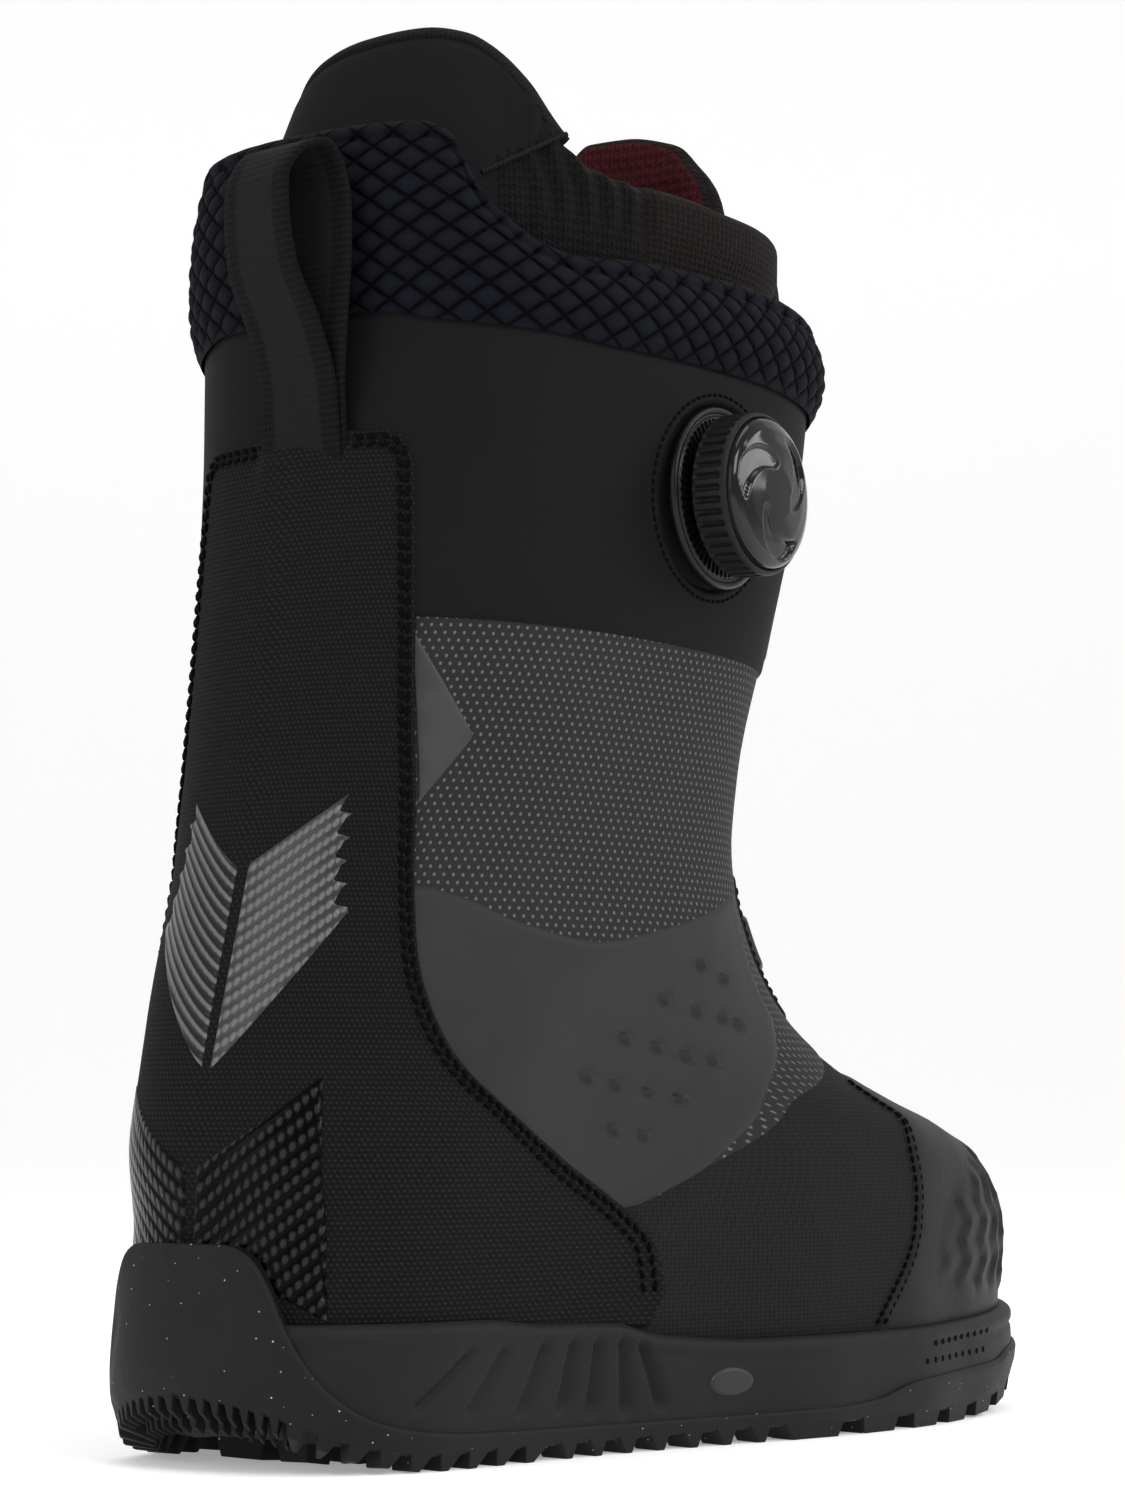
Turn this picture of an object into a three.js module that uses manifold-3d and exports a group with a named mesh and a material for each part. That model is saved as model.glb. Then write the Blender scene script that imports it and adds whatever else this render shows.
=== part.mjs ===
// A right snowboard boot with one lacing dial, in millimetres.
// The sole stands on z = 0, the toe points to -Y, +X is the medial (inner) side, +Z is up.
// The origin is on the ground under the middle of the sole.
import * as THREE from "three";
import { mergeVertices } from "three/addons/utils/BufferGeometryUtils.js";
import Module from "manifold-3d";

const wasm = await Module();
wasm.setup();

// Shape of the boot. Each curve is a list of [where, value] knots.
const BACK = curve([
  [0, 143], [20, 146], [40, 146], [60, 145], [80, 141.5], [100, 136.5], [130, 128.5],
  [160, 121], [200, 115.5], [240, 112], [300, 111],
]);
const FRONT = curve([
  [20, -160], [36, -161], [50, -160], [60, -156], [70, -146.5], [78, -127], [84, -103],
  [89, -86], [95, -72], [102, -59.5], [112, -47], [122, -38.5], [135, -31.5], [150, -28.5],
  [165, -29.5], [200, -38], [240, -48], [270, -51.5], [300, -52],
]);
const FRONT_ROUNDING = curve([
  [30, 66], [55, 68], [70, 84], [85, 98], [100, 96], [115, 86], [130, 80], [160, 78],
  [200, 78], [300, 82],
]);
const BACK_ROUNDING = curve([
  [30, 50], [60, 52], [100, 66], [130, 78], [160, 80], [200, 80], [300, 84],
]);
const SHAFT_HALF_WIDTH = curve([
  [30, 52], [90, 51], [130, 51.5], [160, 54], [200, 58.5], [240, 62], [270, 63], [300, 63.5],
]);
const FOOT_LATERAL = curve([
  [-152, 50], [-120, 52], [-95, 54], [-60, 57], [-30, 57], [10, 51], [50, 46], [90, 44.5],
  [152, 44],
]);
const FOOT_MEDIAL = curve([
  [-152, 48], [-120, 52], [-95, 55], [-60, 55.5], [-30, 52], [10, 44], [50, 41], [90, 41.5],
  [152, 42],
]);
const TOE_SHIFT = curve([[-152, 6], [-120, 5], [-95, 3], [-60, 0], [152, 0]]);
const FOOT_TO_SHAFT = [55, 125];
const GIRTH_SCALE = 220;

// Side-view lines of the sole, as [y, z].
const MIDSOLE_TOP = curve([
  [-161, 27], [-133, 26], [-95, 25.5], [-50, 24.5], [-5, 25], [34, 27.5], [47, 30.5],
  [75, 31.5], [95, 33], [150, 33],
]);
const OUTSOLE_TOP = curve([
  [-165, 21], [-140, 16], [-100, 13], [-68, 12.5], [-40, 7.5], [-4, 6.5], [66, 8],
  [112.5, 10], [124.8, 12], [129.7, 15.5], [133, 20], [150, 28],
]);
const GROUND_LINE = curve([
  [-165, 19], [-155, 12.5], [-135, 5.5], [-110, 1.2], [-86, 0], [110, 0], [128, 3],
  [140, 9], [150, 16],
]);
const SOLE_ENDS = [-165, 150];
const SOLE_LIP = 0.8;

// Layers of the upper, as distances out from the boot's surface.
const GAP = 0.3;
const SHELL = [-3, 0];
const OVERLAY = [1.6, 2.6];
const TRIM = [3.2, 4.2];
const GUIDE_BLOCK = [2.9, 5.1];
const TONGUE = [-8.4, -6];
const LINER_INSET = 9.6;
const LINER_THICKNESS = 7;
const HEEL_TUCK = 3;
const SOLE_TUCK = 1.2;

// Heights and widths of the panels, in s (0 at the heel, 1 at the toe) and z.
const THROAT_S = 0.865;
const BACK_SEAM_S = 0.0025;
const CUFF_BOTTOM = 194;
const CUP_HALF_S = 0.085;
const CUP_TOP = 51;
const STAY_TOP = 237.5;

// The lacing dial: its centre, its turn about z, and its radii and heights along its own axis.
const DIAL_CENTRE = new THREE.Vector3(-60.6, 26, 228);
const DIAL_TURN = 0.105;
const RECESS_R = 23.3;
const HOUSING_R = 11;
const CABLE_R = 0.6;
const CABLE_CHANNEL_R = 1;
const CABLE_DEPTH = -4.3;
const GUIDE_DEPTH = 4.0;
const SPOOL_WRAP_R = 7.7;

const LOOP_WIDTH = 25;
const LOOP_THICKNESS = 1.8;

const LOOKS = {
  rubber: { color: 0x1b1b1c, roughness: 0.85, metalness: 0 },
  foam: { color: 0x26272a, roughness: 0.8, metalness: 0 },
  board: { color: 0x8a7a5c, roughness: 0.9, metalness: 0 },
  steel: { color: 0xb8bcc0, roughness: 0.3, metalness: 1 },
  toe: { color: 0x3a3a3c, roughness: 0.75, metalness: 0 },
  fabric: { color: 0x2a2a2c, roughness: 0.95, metalness: 0 },
  film: { color: 0x3e3e40, roughness: 0.6, metalness: 0 },
  dotted: { color: 0x35353a, roughness: 0.85, metalness: 0 },
  cuff: { color: 0x303032, roughness: 0.8, metalness: 0 },
  quilt: { color: 0x14161c, roughness: 0.95, metalness: 0 },
  silver: { color: 0x7d8085, roughness: 0.35, metalness: 0.3 },
  black: { color: 0x121213, roughness: 0.35, metalness: 0.1 },
  webbing: { color: 0x0e0e10, roughness: 0.9, metalness: 0 },
  liner: { color: 0x1d1d20, roughness: 0.95, metalness: 0 },
  footbed: { color: 0x303236, roughness: 0.95, metalness: 0 },
  plastic: { color: 0x101012, roughness: 0.4, metalness: 0 },
  gloss: { color: 0x0b0b0d, roughness: 0.12, metalness: 0 },
  nylon: { color: 0xd8d8d2, roughness: 0.5, metalness: 0 },
  label: { color: 0x4c4c50, roughness: 0.5, metalness: 0 },
};

const boot = new THREE.Group();
boot.name = "snowboard_boot";

// ---------- curves and the boot's surface ----------

// A smooth curve through its knots that never overshoots them, held flat beyond the ends.
function curve(knots) {
  const steps = knots.slice(1).map((k, i) => k[0] - knots[i][0]);
  const slopes = steps.map((h, i) => (knots[i + 1][1] - knots[i][1]) / h);
  const tangents = knots.map((_, i) => {
    if (i === 0) return slopes[0];
    if (i === knots.length - 1) return slopes[i - 1];
    const before = slopes[i - 1];
    const after = slopes[i];
    if (before * after <= 0) return 0;
    const a = 2 * steps[i] + steps[i - 1];
    const b = steps[i] + 2 * steps[i - 1];
    return (a + b) / (a / before + b / after);
  });
  return (at) => {
    const x = THREE.MathUtils.clamp(at, knots[0][0], knots[knots.length - 1][0]);
    let i = 0;
    while (i < steps.length - 1 && x > knots[i + 1][0]) i += 1;
    const t = (x - knots[i][0]) / steps[i];
    const t2 = t * t;
    const t3 = t2 * t;
    return (
      knots[i][1] * (2 * t3 - 3 * t2 + 1) +
      knots[i + 1][1] * (3 * t2 - 2 * t3) +
      steps[i] * (tangents[i] * (t3 - 2 * t2 + t) + tangents[i + 1] * (t3 - t2))
    );
  };
}

function ease(from, to, x) {
  return THREE.MathUtils.smoothstep(x, from, to);
}

// s runs 0 at the heel to 1 at the toe along the lateral side, to -1 along the medial side,
// and may run on past 1 round the toe.
function wrapped(s) {
  if (s > 1) return s - 2;
  if (s < -1) return s + 2;
  return s;
}

// The point of the boot's outline at height z, drawn in by inset all round.
function outline(sAny, z, inset = 0) {
  const s = wrapped(sAny);
  const back = BACK(z) - inset;
  const front = Math.max(FRONT(z), FRONT(z + inset)) + inset;
  const y = front + ((back - front) * (1 + Math.cos(Math.PI * Math.abs(s)))) / 2;
  const frontDepth = Math.min(FRONT_ROUNDING(z), (back - front) * 0.55);
  const backDepth = Math.min(BACK_ROUNDING(z), back - front - frontDepth);
  const power = 2.3 + 0.15 * ease(60, 160, z);
  const rounding = (depth, distance) => {
    const q = THREE.MathUtils.clamp(distance / depth, 0, 1);
    return Math.pow(Math.max(0, 1 - Math.pow(1 - q, power)), 1 / power);
  };
  const round = rounding(frontDepth, y - front) * rounding(backDepth, back - y);
  const foot = s > 0 ? FOOT_LATERAL(y) : FOOT_MEDIAL(y);
  const shaft = ease(FOOT_TO_SHAFT[0], FOOT_TO_SHAFT[1], z);
  const half = foot * (1 - shaft) + SHAFT_HALF_WIDTH(z) * shaft - inset;
  const x = (s > 0 ? -1 : 1) * half * round + TOE_SHIFT(y) * (1 - shaft);
  return new THREE.Vector3(x, y, z);
}

// A point `out` millimetres out from the boot's surface.
function surface(s, z, out) {
  const ds = 0.012;
  const dz = 1.5;
  const along = outline(s + ds, z).sub(outline(s - ds, z));
  const up = outline(s, z + dz).sub(outline(s, z - dz));
  const normal = along.cross(up).normalize();
  return outline(s, z).addScaledVector(normal, out);
}

// The upper is drawn in a little where the sole and the heel cup wrap round it.
function upper(s, z, out) {
  const side = ease(0.12, 0.35, Math.abs(wrapped(s)));
  const heel = HEEL_TUCK * (1 - ease(52, 76, z)) * (1 - side);
  const sole = SOLE_TUCK * (1 - ease(34, 50, z)) * side;
  return surface(s, z, out - heel - sole);
}

// s of the surface point at depth y and height z, on the lateral side.
function sAtY(y, z) {
  const share = (y - FRONT(z)) / (BACK(z) - FRONT(z));
  return Math.acos(THREE.MathUtils.clamp(2 * share - 1, -1, 1)) / Math.PI;
}

// s of the surface point near the heel that lies x to the side.
function sAtX(x, z) {
  let low = 0;
  let high = 0.4;
  for (let i = 0; i < 30; i += 1) {
    const middle = (low + high) / 2;
    if (Math.abs(outline(middle, z).x) < Math.abs(x)) low = middle;
    else high = middle;
  }
  return low;
}

// [y, z] points in side view, as [s, z] points.
function fromSide(points) {
  return points.map(([y, z]) => [sAtY(y, z), z]);
}

// ---------- building blocks ----------

function turnedOut(geometry) {
  const at = geometry.attributes.position;
  const index = geometry.index;
  const corners = [new THREE.Vector3(), new THREE.Vector3(), new THREE.Vector3()];
  let volume = 0;
  for (let i = 0; i < index.count; i += 3) {
    corners.forEach((corner, k) => corner.fromBufferAttribute(at, index.getX(i + k)));
    volume += corners[0].dot(corners[1].clone().cross(corners[2]));
  }
  if (volume >= 0) return geometry;
  for (let i = 0; i < index.count; i += 3) {
    const swap = index.getX(i + 1);
    index.setX(i + 1, index.getX(i + 2));
    index.setX(i + 2, swap);
  }
  return geometry;
}

// A block whose cells are moved to place(u, v, w), each from 0 to 1.
function bentBlock(across, up, place) {
  const geometry = new THREE.BoxGeometry(1, 1, 1, across, up, 1);
  const at = geometry.attributes.position;
  for (let i = 0; i < at.count; i += 1) {
    const p = place(at.getX(i) + 0.5, at.getY(i) + 0.5, at.getZ(i) + 0.5);
    at.setXYZ(i, p.x, p.y, p.z);
  }
  return turnedOut(bare(geometry));
}

// Only positions, with shared corners merged.
function bare(geometry) {
  geometry.deleteAttribute("normal");
  geometry.deleteAttribute("uv");
  return mergeVertices(geometry, 1e-3);
}

function solid(geometry) {
  const merged = bare(geometry.clone());
  return new wasm.Manifold(
    new wasm.Mesh({
      numProp: 3,
      vertProperties: new Float32Array(merged.attributes.position.array),
      triVerts: new Uint32Array(merged.index.array),
    }),
  );
}

function geometryOf(body) {
  const mesh = body.getMesh();
  const geometry = new THREE.BufferGeometry();
  geometry.setAttribute("position", new THREE.BufferAttribute(mesh.vertProperties, 3));
  geometry.setIndex(new THREE.BufferAttribute(mesh.triVerts, 1));
  return geometry;
}

function add(name, geometry, look, parent = boot) {
  const mesh = new THREE.Mesh(geometry, new THREE.MeshStandardMaterial(LOOKS[look]));
  mesh.name = name;
  parent.add(mesh);
  return mesh;
}

// The point a share t of the way along a line of [s, z] points.
function alongLine(points, t) {
  const lengths = points.slice(1).map((p, i) =>
    Math.hypot((p[0] - points[i][0]) * GIRTH_SCALE, p[1] - points[i][1]),
  );
  let left = t * lengths.reduce((sum, l) => sum + l, 0);
  let i = 0;
  while (i < lengths.length - 1 && left > lengths[i]) {
    left -= lengths[i];
    i += 1;
  }
  const k = Math.min(1, left / lengths[i]);
  return [0, 1].map((axis) => points[i][axis] + k * (points[i + 1][axis] - points[i][axis]));
}

// A four-sided patch of the [s, z] map filled in between its four edges.
function patchMap({ bottom, top, left, right }) {
  const first = left ?? [bottom[0], top[0]];
  const last = right ?? [bottom[bottom.length - 1], top[top.length - 1]];
  const corners = [bottom[0], bottom[bottom.length - 1], top[0], top[top.length - 1]];
  return (u, v) => {
    const low = alongLine(bottom, u);
    const high = alongLine(top, u);
    const near = alongLine(first, v);
    const far = alongLine(last, v);
    return [0, 1].map(
      (k) =>
        low[k] * (1 - v) + high[k] * v + near[k] * (1 - u) + far[k] * u -
        (corners[0][k] * (1 - u) * (1 - v) + corners[1][k] * u * (1 - v)) -
        (corners[2][k] * (1 - u) * v + corners[3][k] * u * v),
    );
  };
}

// A panel of the upper: a patch of the surface between two layers. side is 1 for the lateral
// side and -1 for the medial side.
function panelGeometry(edges, [inner, outer], [across, up], side = 1, skin = upper) {
  const map = patchMap(edges);
  return bentBlock(across, up, (u, v, w) => {
    const [s, z] = map(u, v);
    return skin(side * s, z, inner + (outer - inner) * w);
  });
}

// A closed body that fills the boot's outline, drawn in by inset, over a list of heights.
function filled(inset, heights, around) {
  const rows = heights.length - 1;
  const geometry = new THREE.CylinderGeometry(1, 1, 1, around, rows);
  const at = geometry.attributes.position;
  for (let i = 0; i < at.count; i += 1) {
    const row = Math.round((at.getY(i) + 0.5) * rows);
    const z = heights[row];
    const onAxis = Math.hypot(at.getX(i), at.getZ(i)) < 0.5;
    const s = Math.atan2(at.getX(i), at.getZ(i)) / Math.PI;
    const middle = outline(0, z, inset).add(outline(1, z, inset)).multiplyScalar(0.5);
    const p = onAxis ? middle : outline(s, z, inset);
    at.setXYZ(i, p.x, p.y, p.z);
  }
  return turnedOut(bare(geometry));
}

// A side-view outline of [y, z] points, drawn out across the boot.
function sideSlab(points, from = -90, to = 90) {
  const shape = new THREE.Shape(points.map(([y, z]) => new THREE.Vector2(y, z)));
  const geometry = new THREE.ExtrudeGeometry(shape, { depth: to - from, bevelEnabled: false });
  const turn = new THREE.Matrix4().makeBasis(
    new THREE.Vector3(0, 1, 0),
    new THREE.Vector3(0, 0, 1),
    new THREE.Vector3(1, 0, 0),
  );
  return solid(geometry.applyMatrix4(turn).translate(from, 0, 0));
}

// The side-view band between two height lines, given as functions of y.
function sideBand(lower, higher, ends = SOLE_ENDS, steps = 26) {
  const ys = Array.from({ length: steps + 1 }, (_, i) => ends[0] + ((ends[1] - ends[0]) * i) / steps);
  return sideSlab([
    ...ys.map((y) => [y, lower(y)]),
    ...ys.reverse().map((y) => [y, higher(y)]),
  ]);
}

// The plan outline of the foot drawn in by inset, as an upright prism.
function planPrism(inset, around = 44, z = 28) {
  const points = Array.from({ length: around }, (_, i) => {
    const p = outline(1 - (2 * i) / around, z, inset);
    return new THREE.Vector2(p.x, p.y);
  });
  const shape = new THREE.Shape(points);
  return solid(new THREE.ExtrudeGeometry(shape, { depth: 80, bevelEnabled: false }).translate(0, 0, -10));
}

function box(x, y, z) {
  const size = [x[1] - x[0], y[1] - y[0], z[1] - z[0]];
  const geometry = new THREE.BoxGeometry(...size);
  return solid(geometry.translate(x[0] + size[0] / 2, y[0] + size[1] / 2, z[0] + size[2] / 2));
}

// ---------- the sole ----------

function heelCup(inner, outer, halfS, from, to) {
  const edges = { bottom: [[-halfS, from], [halfS, from]], top: [[-halfS, to], [halfS, to]] };
  return solid(panelGeometry(edges, [inner, outer], [8, 5], 1, surface));
}

// A piece of the heel cut clear of the rubber cup behind it.
function clearOfCup(geometry) {
  const cup = heelCup(-3.2, 4, CUP_HALF_S + 0.006, 5, CUP_TOP + 0.5);
  return geometryOf(solid(geometry).subtract(cup));
}

// Grooves across the sole leave a row of lugs, with one groove along it at the heel and ball.
function treadGrooves() {
  const depth = 3.4;
  const across = [-132, -117, -102, -87, -70, -53, -36, -18, 17, 35, 53, 71, 89, 107, 124];
  const cuts = across.map((y) => box([-80, 80], [y - 2, y + 2], [-1, GROUND_LINE(y) + depth]));
  cuts.push(box([1, 5], [-124, -16], [-1, depth]));
  cuts.push(box([-2, 2], [33, 120], [-1, depth]));
  return wasm.Manifold.union(cuts);
}

function outsole() {
  const slab = planPrism(-SOLE_LIP).intersect(sideBand(GROUND_LINE, OUTSOLE_TOP));
  const cup = heelCup(-2.5, 0, CUP_HALF_S, 14, CUP_TOP);
  return geometryOf(slab.subtract(treadGrooves()).add(cup));
}

function midsole() {
  const band = sideBand((y) => OUTSOLE_TOP(y) + GAP, MIDSOLE_TOP);
  const cup = heelCup(-2.8, 3, CUP_HALF_S + 0.004, 5, 40);
  return geometryOf(planPrism(0).intersect(band).subtract(cup));
}

function onMidsole(from, to, plan) {
  const band = sideBand((y) => MIDSOLE_TOP(y) + from, (y) => MIDSOLE_TOP(y) + to);
  return plan.intersect(band);
}

// A small badge that follows the side wall of the midsole.
function midsoleBadge(side) {
  const [rear, front] = [18, 2].map((y) => sAtY(y, 28));
  const edges = {
    bottom: [[rear, 13], [(rear + front) / 2, 11.5], [front, 13]],
    top: [[rear, 18], [(rear + front) / 2, 19.5], [front, 18]],
  };
  const wallSkin = (s, z, out) => outline(s, 28, -out).setZ(z);
  return panelGeometry(edges, [0.5, 1.5], [6, 1], side, wallSkin);
}

// ---------- the lower boot ----------

const TOE_SEAM = fromSide([[-50, 26.5], [-63, 42.5], [-67, 57.5], [-65, 70.5], [-62, 82], [-53, 89]]);
const TOE_TOP_Z = 93;
const THROAT_BOTTOM_Z = 103;
const FLEX_BOTTOM = fromSide([[110, 131.5], [100.6, 129.5], [85.6, 124], [59, 120], [36, 123.5], [-6.5, 135]]);
const STAY_EDGE = fromSide([
  [34, 34], [29.5, 37.5], [33, 48.5], [45, 58], [67.5, 70], [90, 82.5], [106, 96.5],
  [111, 114.5], [109.9, 132.5], [107.7, 174],
]).concat([[0.143, 225.5], [0.118, 235]]);
const ANKLE_LOWER = fromSide([[45, 58.5], [38.5, 58], [19.3, 65], [-5, 74.5], [-16.6, 83], [-39, 90.5]]);

// The same line, moved along the boot and up.
function shifted(line, ds, dz) {
  return line.map(([s, z]) => [s + ds, z + dz]);
}

function seamAtMidsole(s) {
  return MIDSOLE_TOP(outline(s, 30).y) + 3 * GAP;
}

function soleLine(fromS, toS, steps = 8) {
  return Array.from({ length: steps + 1 }, (_, i) => {
    const s = fromS + ((toS - fromS) * i) / steps;
    return [s, seamAtMidsole(s)];
  });
}

function toeCap() {
  const right = TOE_SEAM.map(([s, z]) => [2 - s, z]);
  const seamTop = TOE_SEAM[TOE_SEAM.length - 1];
  const top = [seamTop, [0.87, 91.5], [1, TOE_TOP_Z], [1.13, 91.5], [2 - seamTop[0], seamTop[1]]];
  const left = [[TOE_SEAM[0][0], seamAtMidsole(TOE_SEAM[0][0])], ...TOE_SEAM.slice(1)];
  const far = [[right[0][0], left[0][1]], ...right.slice(1)];
  const bottom = soleLine(left[0][0], far[0][0]);
  return panelGeometry({ bottom, top, left, right: far }, SHELL, [22, 7]);
}

function vamp() {
  const seamTop = TOE_SEAM[TOE_SEAM.length - 1];
  const from = seamTop[0] + 0.004;
  const bottom = [[from, 89.6], [0.87, 92.1], [1, TOE_TOP_Z + 0.6], [1.13, 92.1], [2 - from, 89.6]];
  const top = [[from + 0.06, 98], [1, THROAT_BOTTOM_Z], [2 - from - 0.06, 98]];
  return panelGeometry({ bottom, top }, SHELL, [12, 2]);
}

function quarter(side) {
  const seam = shifted(TOE_SEAM, -0.004, 0);
  const bottom = soleLine(BACK_SEAM_S, seam[0][0]);
  const throat = [[THROAT_S - 0.06, 98.6], [THROAT_S, 105], [THROAT_S, 140.6]];
  const top = [[BACK_SEAM_S, 131], ...shifted(FLEX_BOTTOM, 0, -GAP), throat[2]];
  const right = [bottom[bottom.length - 1], ...seam.slice(1), ...throat];
  return panelGeometry({ bottom, top, right }, SHELL, [18, 9], side);
}

function backstay() {
  const low = STAY_EDGE[0];
  const bottom = [
    [-low[0], low[1]], [-0.13, 34.5], [-0.1, CUP_TOP + 1], [0.1, CUP_TOP + 1], [0.13, 34.5], low,
  ];
  const left = STAY_EDGE.map(([s, z]) => [-s, z]);
  const top = [left[left.length - 1], [-0.1, STAY_TOP], [0.1, STAY_TOP], STAY_EDGE[STAY_EDGE.length - 1]];
  return clearOfCup(panelGeometry({ bottom, top, left, right: STAY_EDGE }, OVERLAY, [22, 13]));
}

function anklePanel(side) {
  const left = shifted(STAY_EDGE.slice(3, 9), 0.008, 0);
  const bottom = [left[0], ...ANKLE_LOWER.slice(2), [0.79, 95]];
  const top = [left[left.length - 1], ...shifted(FLEX_BOTTOM.slice(1), 0, -GAP), [0.79, 137.5]];
  return panelGeometry({ bottom, top, left }, OVERLAY, [14, 6], side);
}

function flexPanel(side) {
  const bottom = [[BACK_SEAM_S, 131.5], ...FLEX_BOTTOM, [THROAT_S, 141]];
  const top = [[BACK_SEAM_S, CUFF_BOTTOM - GAP], [0.7, 190 - GAP], [THROAT_S, 189 - GAP]];
  return panelGeometry({ bottom, top }, SHELL, [14, 4], side);
}

function heelCounter() {
  const edges = {
    bottom: [[-0.3, 41], [0.3, 41]],
    top: [[-0.22, 78], [-0.1, 92], [0.1, 92], [0.22, 78]],
  };
  return panelGeometry(edges, [-5.6, -3.9], [12, 4]);
}

// Each chevron arm is given by its corners seen from behind, as [x, z].
function chevron(corners, side) {
  const [bottomInner, bottomOuter, topInner, topOuter] = corners.map(([x, z]) => [
    side * sAtX(side * -x, z),
    z,
  ]);
  const edges = { bottom: [bottomInner, bottomOuter], top: [topInner, topOuter] };
  return clearOfCup(panelGeometry(edges, TRIM, [4, 4]));
}

function label(side) {
  const [top, front, low] = fromSide([[106, 191], [97, 166], [106.5, 152]]);
  const edges = { bottom: [low, front], top: [top, [top[0] + 0.012, top[1] - 2]] };
  return panelGeometry(edges, OVERLAY, [2, 4], side);
}

function shellTongue() {
  const edges = {
    bottom: [[0.82, 96], [1, 97], [1.18, 96]],
    top: [[0.83, 292], [0.9, 303], [1, 306], [1.1, 303], [1.17, 292]],
  };
  return panelGeometry(edges, TONGUE, [8, 15]);
}

// ---------- the cuff ----------

const COLLAR_BOTTOM = [[0, 265], [0.17, 263], [0.3, 261], [0.365, 259.5], [0.535, 258.5], [0.7, 256.5], [THROAT_S, 255]];
const COLLAR_TOP = [
  [0, 311], [0.13, 311], [0.165, 308], [0.203, 294.5], [0.238, 288], [0.27, 283.5],
  [0.323, 280], [0.405, 282], [0.68, 282], [THROAT_S, 277],
];

function bothSides(line) {
  return [...line.slice(1).reverse().map(([s, z]) => [-s, z]), ...line];
}

function dialPlace(geometry) {
  return geometry
    .rotateY(-Math.PI / 2)
    .rotateZ(DIAL_TURN)
    .translate(DIAL_CENTRE.x, DIAL_CENTRE.y, DIAL_CENTRE.z);
}

function disc(radius, from, to, segments = 32) {
  const profile = [[0, from], [radius, from], [radius, to], [0, to]];
  return lathe(profile, segments);
}

function lathe(profile, segments = 32) {
  const points = profile.map(([r, z]) => new THREE.Vector2(r, z));
  if (profile[0][0] > 0) points.push(points[0].clone());
  return turnedOut(bare(new THREE.LatheGeometry(points, segments).rotateX(Math.PI / 2)));
}

function cuffShell() {
  const edges = {
    bottom: bothSides([[0, CUFF_BOTTOM], [0.7, 190], [THROAT_S, 189]]),
    top: bothSides(shifted(COLLAR_BOTTOM, 0, -GAP)),
  };
  const wall = solid(panelGeometry(edges, SHELL, [32, 5]));
  const recess = solid(dialPlace(disc(RECESS_R, 0, 20, 36)));
  const hole = solid(dialPlace(disc(HOUSING_R + 0.5, -15, 20, 28)));
  return geometryOf(wall.subtract(recess).subtract(hole));
}

// The padded collar swells outwards and inwards between its two edges.
function collar() {
  const map = patchMap({ bottom: bothSides(COLLAR_BOTTOM), top: bothSides(COLLAR_TOP) });
  return bentBlock(34, 5, (u, v, w) => {
    const [s, z] = map(u, v);
    const swell = Math.sin(Math.PI * Math.min(0.96, Math.max(0.1, v)));
    const inward = 4.6 * (1 - ease(0.7, 0.78, Math.abs(s)));
    return surface(s, z, w > 0.5 ? 0.8 + 4.2 * swell : -3 - inward * swell);
  });
}

function eyestay(side, from, to) {
  const strip = 0.062;
  const edges = {
    bottom: [[THROAT_S - strip, from], [THROAT_S - 0.004, from + 2]],
    top: [[THROAT_S - strip, to], [THROAT_S - 0.004, to]],
  };
  return panelGeometry(edges, OVERLAY, [3, 5], side);
}

function guideBlock(side, high, low) {
  const edges = {
    bottom: [[THROAT_S - 0.034, low - 3.5], [THROAT_S + 0.008, low - 3.5]],
    top: [[THROAT_S - 0.034, high + 3.5], [THROAT_S + 0.008, high + 3.5]],
  };
  const block = solid(panelGeometry(edges, GUIDE_BLOCK, [2, 3], side));
  return geometryOf(block.subtract(solid(cable(CABLE_CHANNEL_R))));
}

// ---------- the lace cable ----------

// Heights at which the cable enters and leaves each guide, from the top down.
const GUIDES = [
  { name: "lace_guide_cuff_medial", side: -1, high: 237, low: 221 },
  { name: "lace_guide_cuff_lateral", side: 1, high: 213, low: 198 },
  { name: "lace_guide_instep_medial", side: -1, high: 137, low: 129.5 },
  { name: "lace_guide_instep_lateral", side: 1, high: 126.5, low: 119 },
  { name: "lace_guide_toe_medial", side: -1, high: 116, low: 109.5 },
];

// The way the cable runs, as [s, z, depth]: under the shell from the dial, back and forth over
// the tongue through the guides, and under the shell again back to the dial.
function cableRoute() {
  const deep = CABLE_DEPTH;
  const route = [[0.6, 237, deep], [0.72, 240, deep], [0.84, 242, deep], [0.93, 241, deep], [1, 240, deep]];
  GUIDES.forEach(({ side, high, low }, i) => {
    const before = i === 0 ? 240 : GUIDES[i - 1].low;
    const entry = side > 0 ? (s) => s : (s) => 2 - s;
    if (i > 0) route.push([1, (before + high) / 2, deep]);
    route.push([entry(0.94), before + (high - before) * 0.75, -1]);
    route.push([entry(0.895), high, 2.6], [entry(0.868), high, GUIDE_DEPTH]);
    route.push([entry(0.85), (high + low) / 2, GUIDE_DEPTH]);
    route.push([entry(0.868), low, GUIDE_DEPTH], [entry(0.895), low, 2.6]);
    route.push([entry(0.94), low - 0.5, -1.2]);
  });
  route.push([1, 107.5, deep], [0.92, 109, deep], [0.84, 116, deep], [0.79, 135, deep]);
  route.push([0.75, 165, deep], [0.7, 195, deep], [0.62, 214, deep]);
  return route.map(([s, z, depth]) => surface(s, z, depth));
}

function spoolPoint(angle) {
  const point = new THREE.BufferGeometry().setFromPoints([
    new THREE.Vector3(SPOOL_WRAP_R * Math.sin(angle), SPOOL_WRAP_R * Math.cos(angle), -4.2),
  ]);
  return new THREE.Vector3().fromBufferAttribute(dialPlace(point).attributes.position, 0);
}

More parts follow.
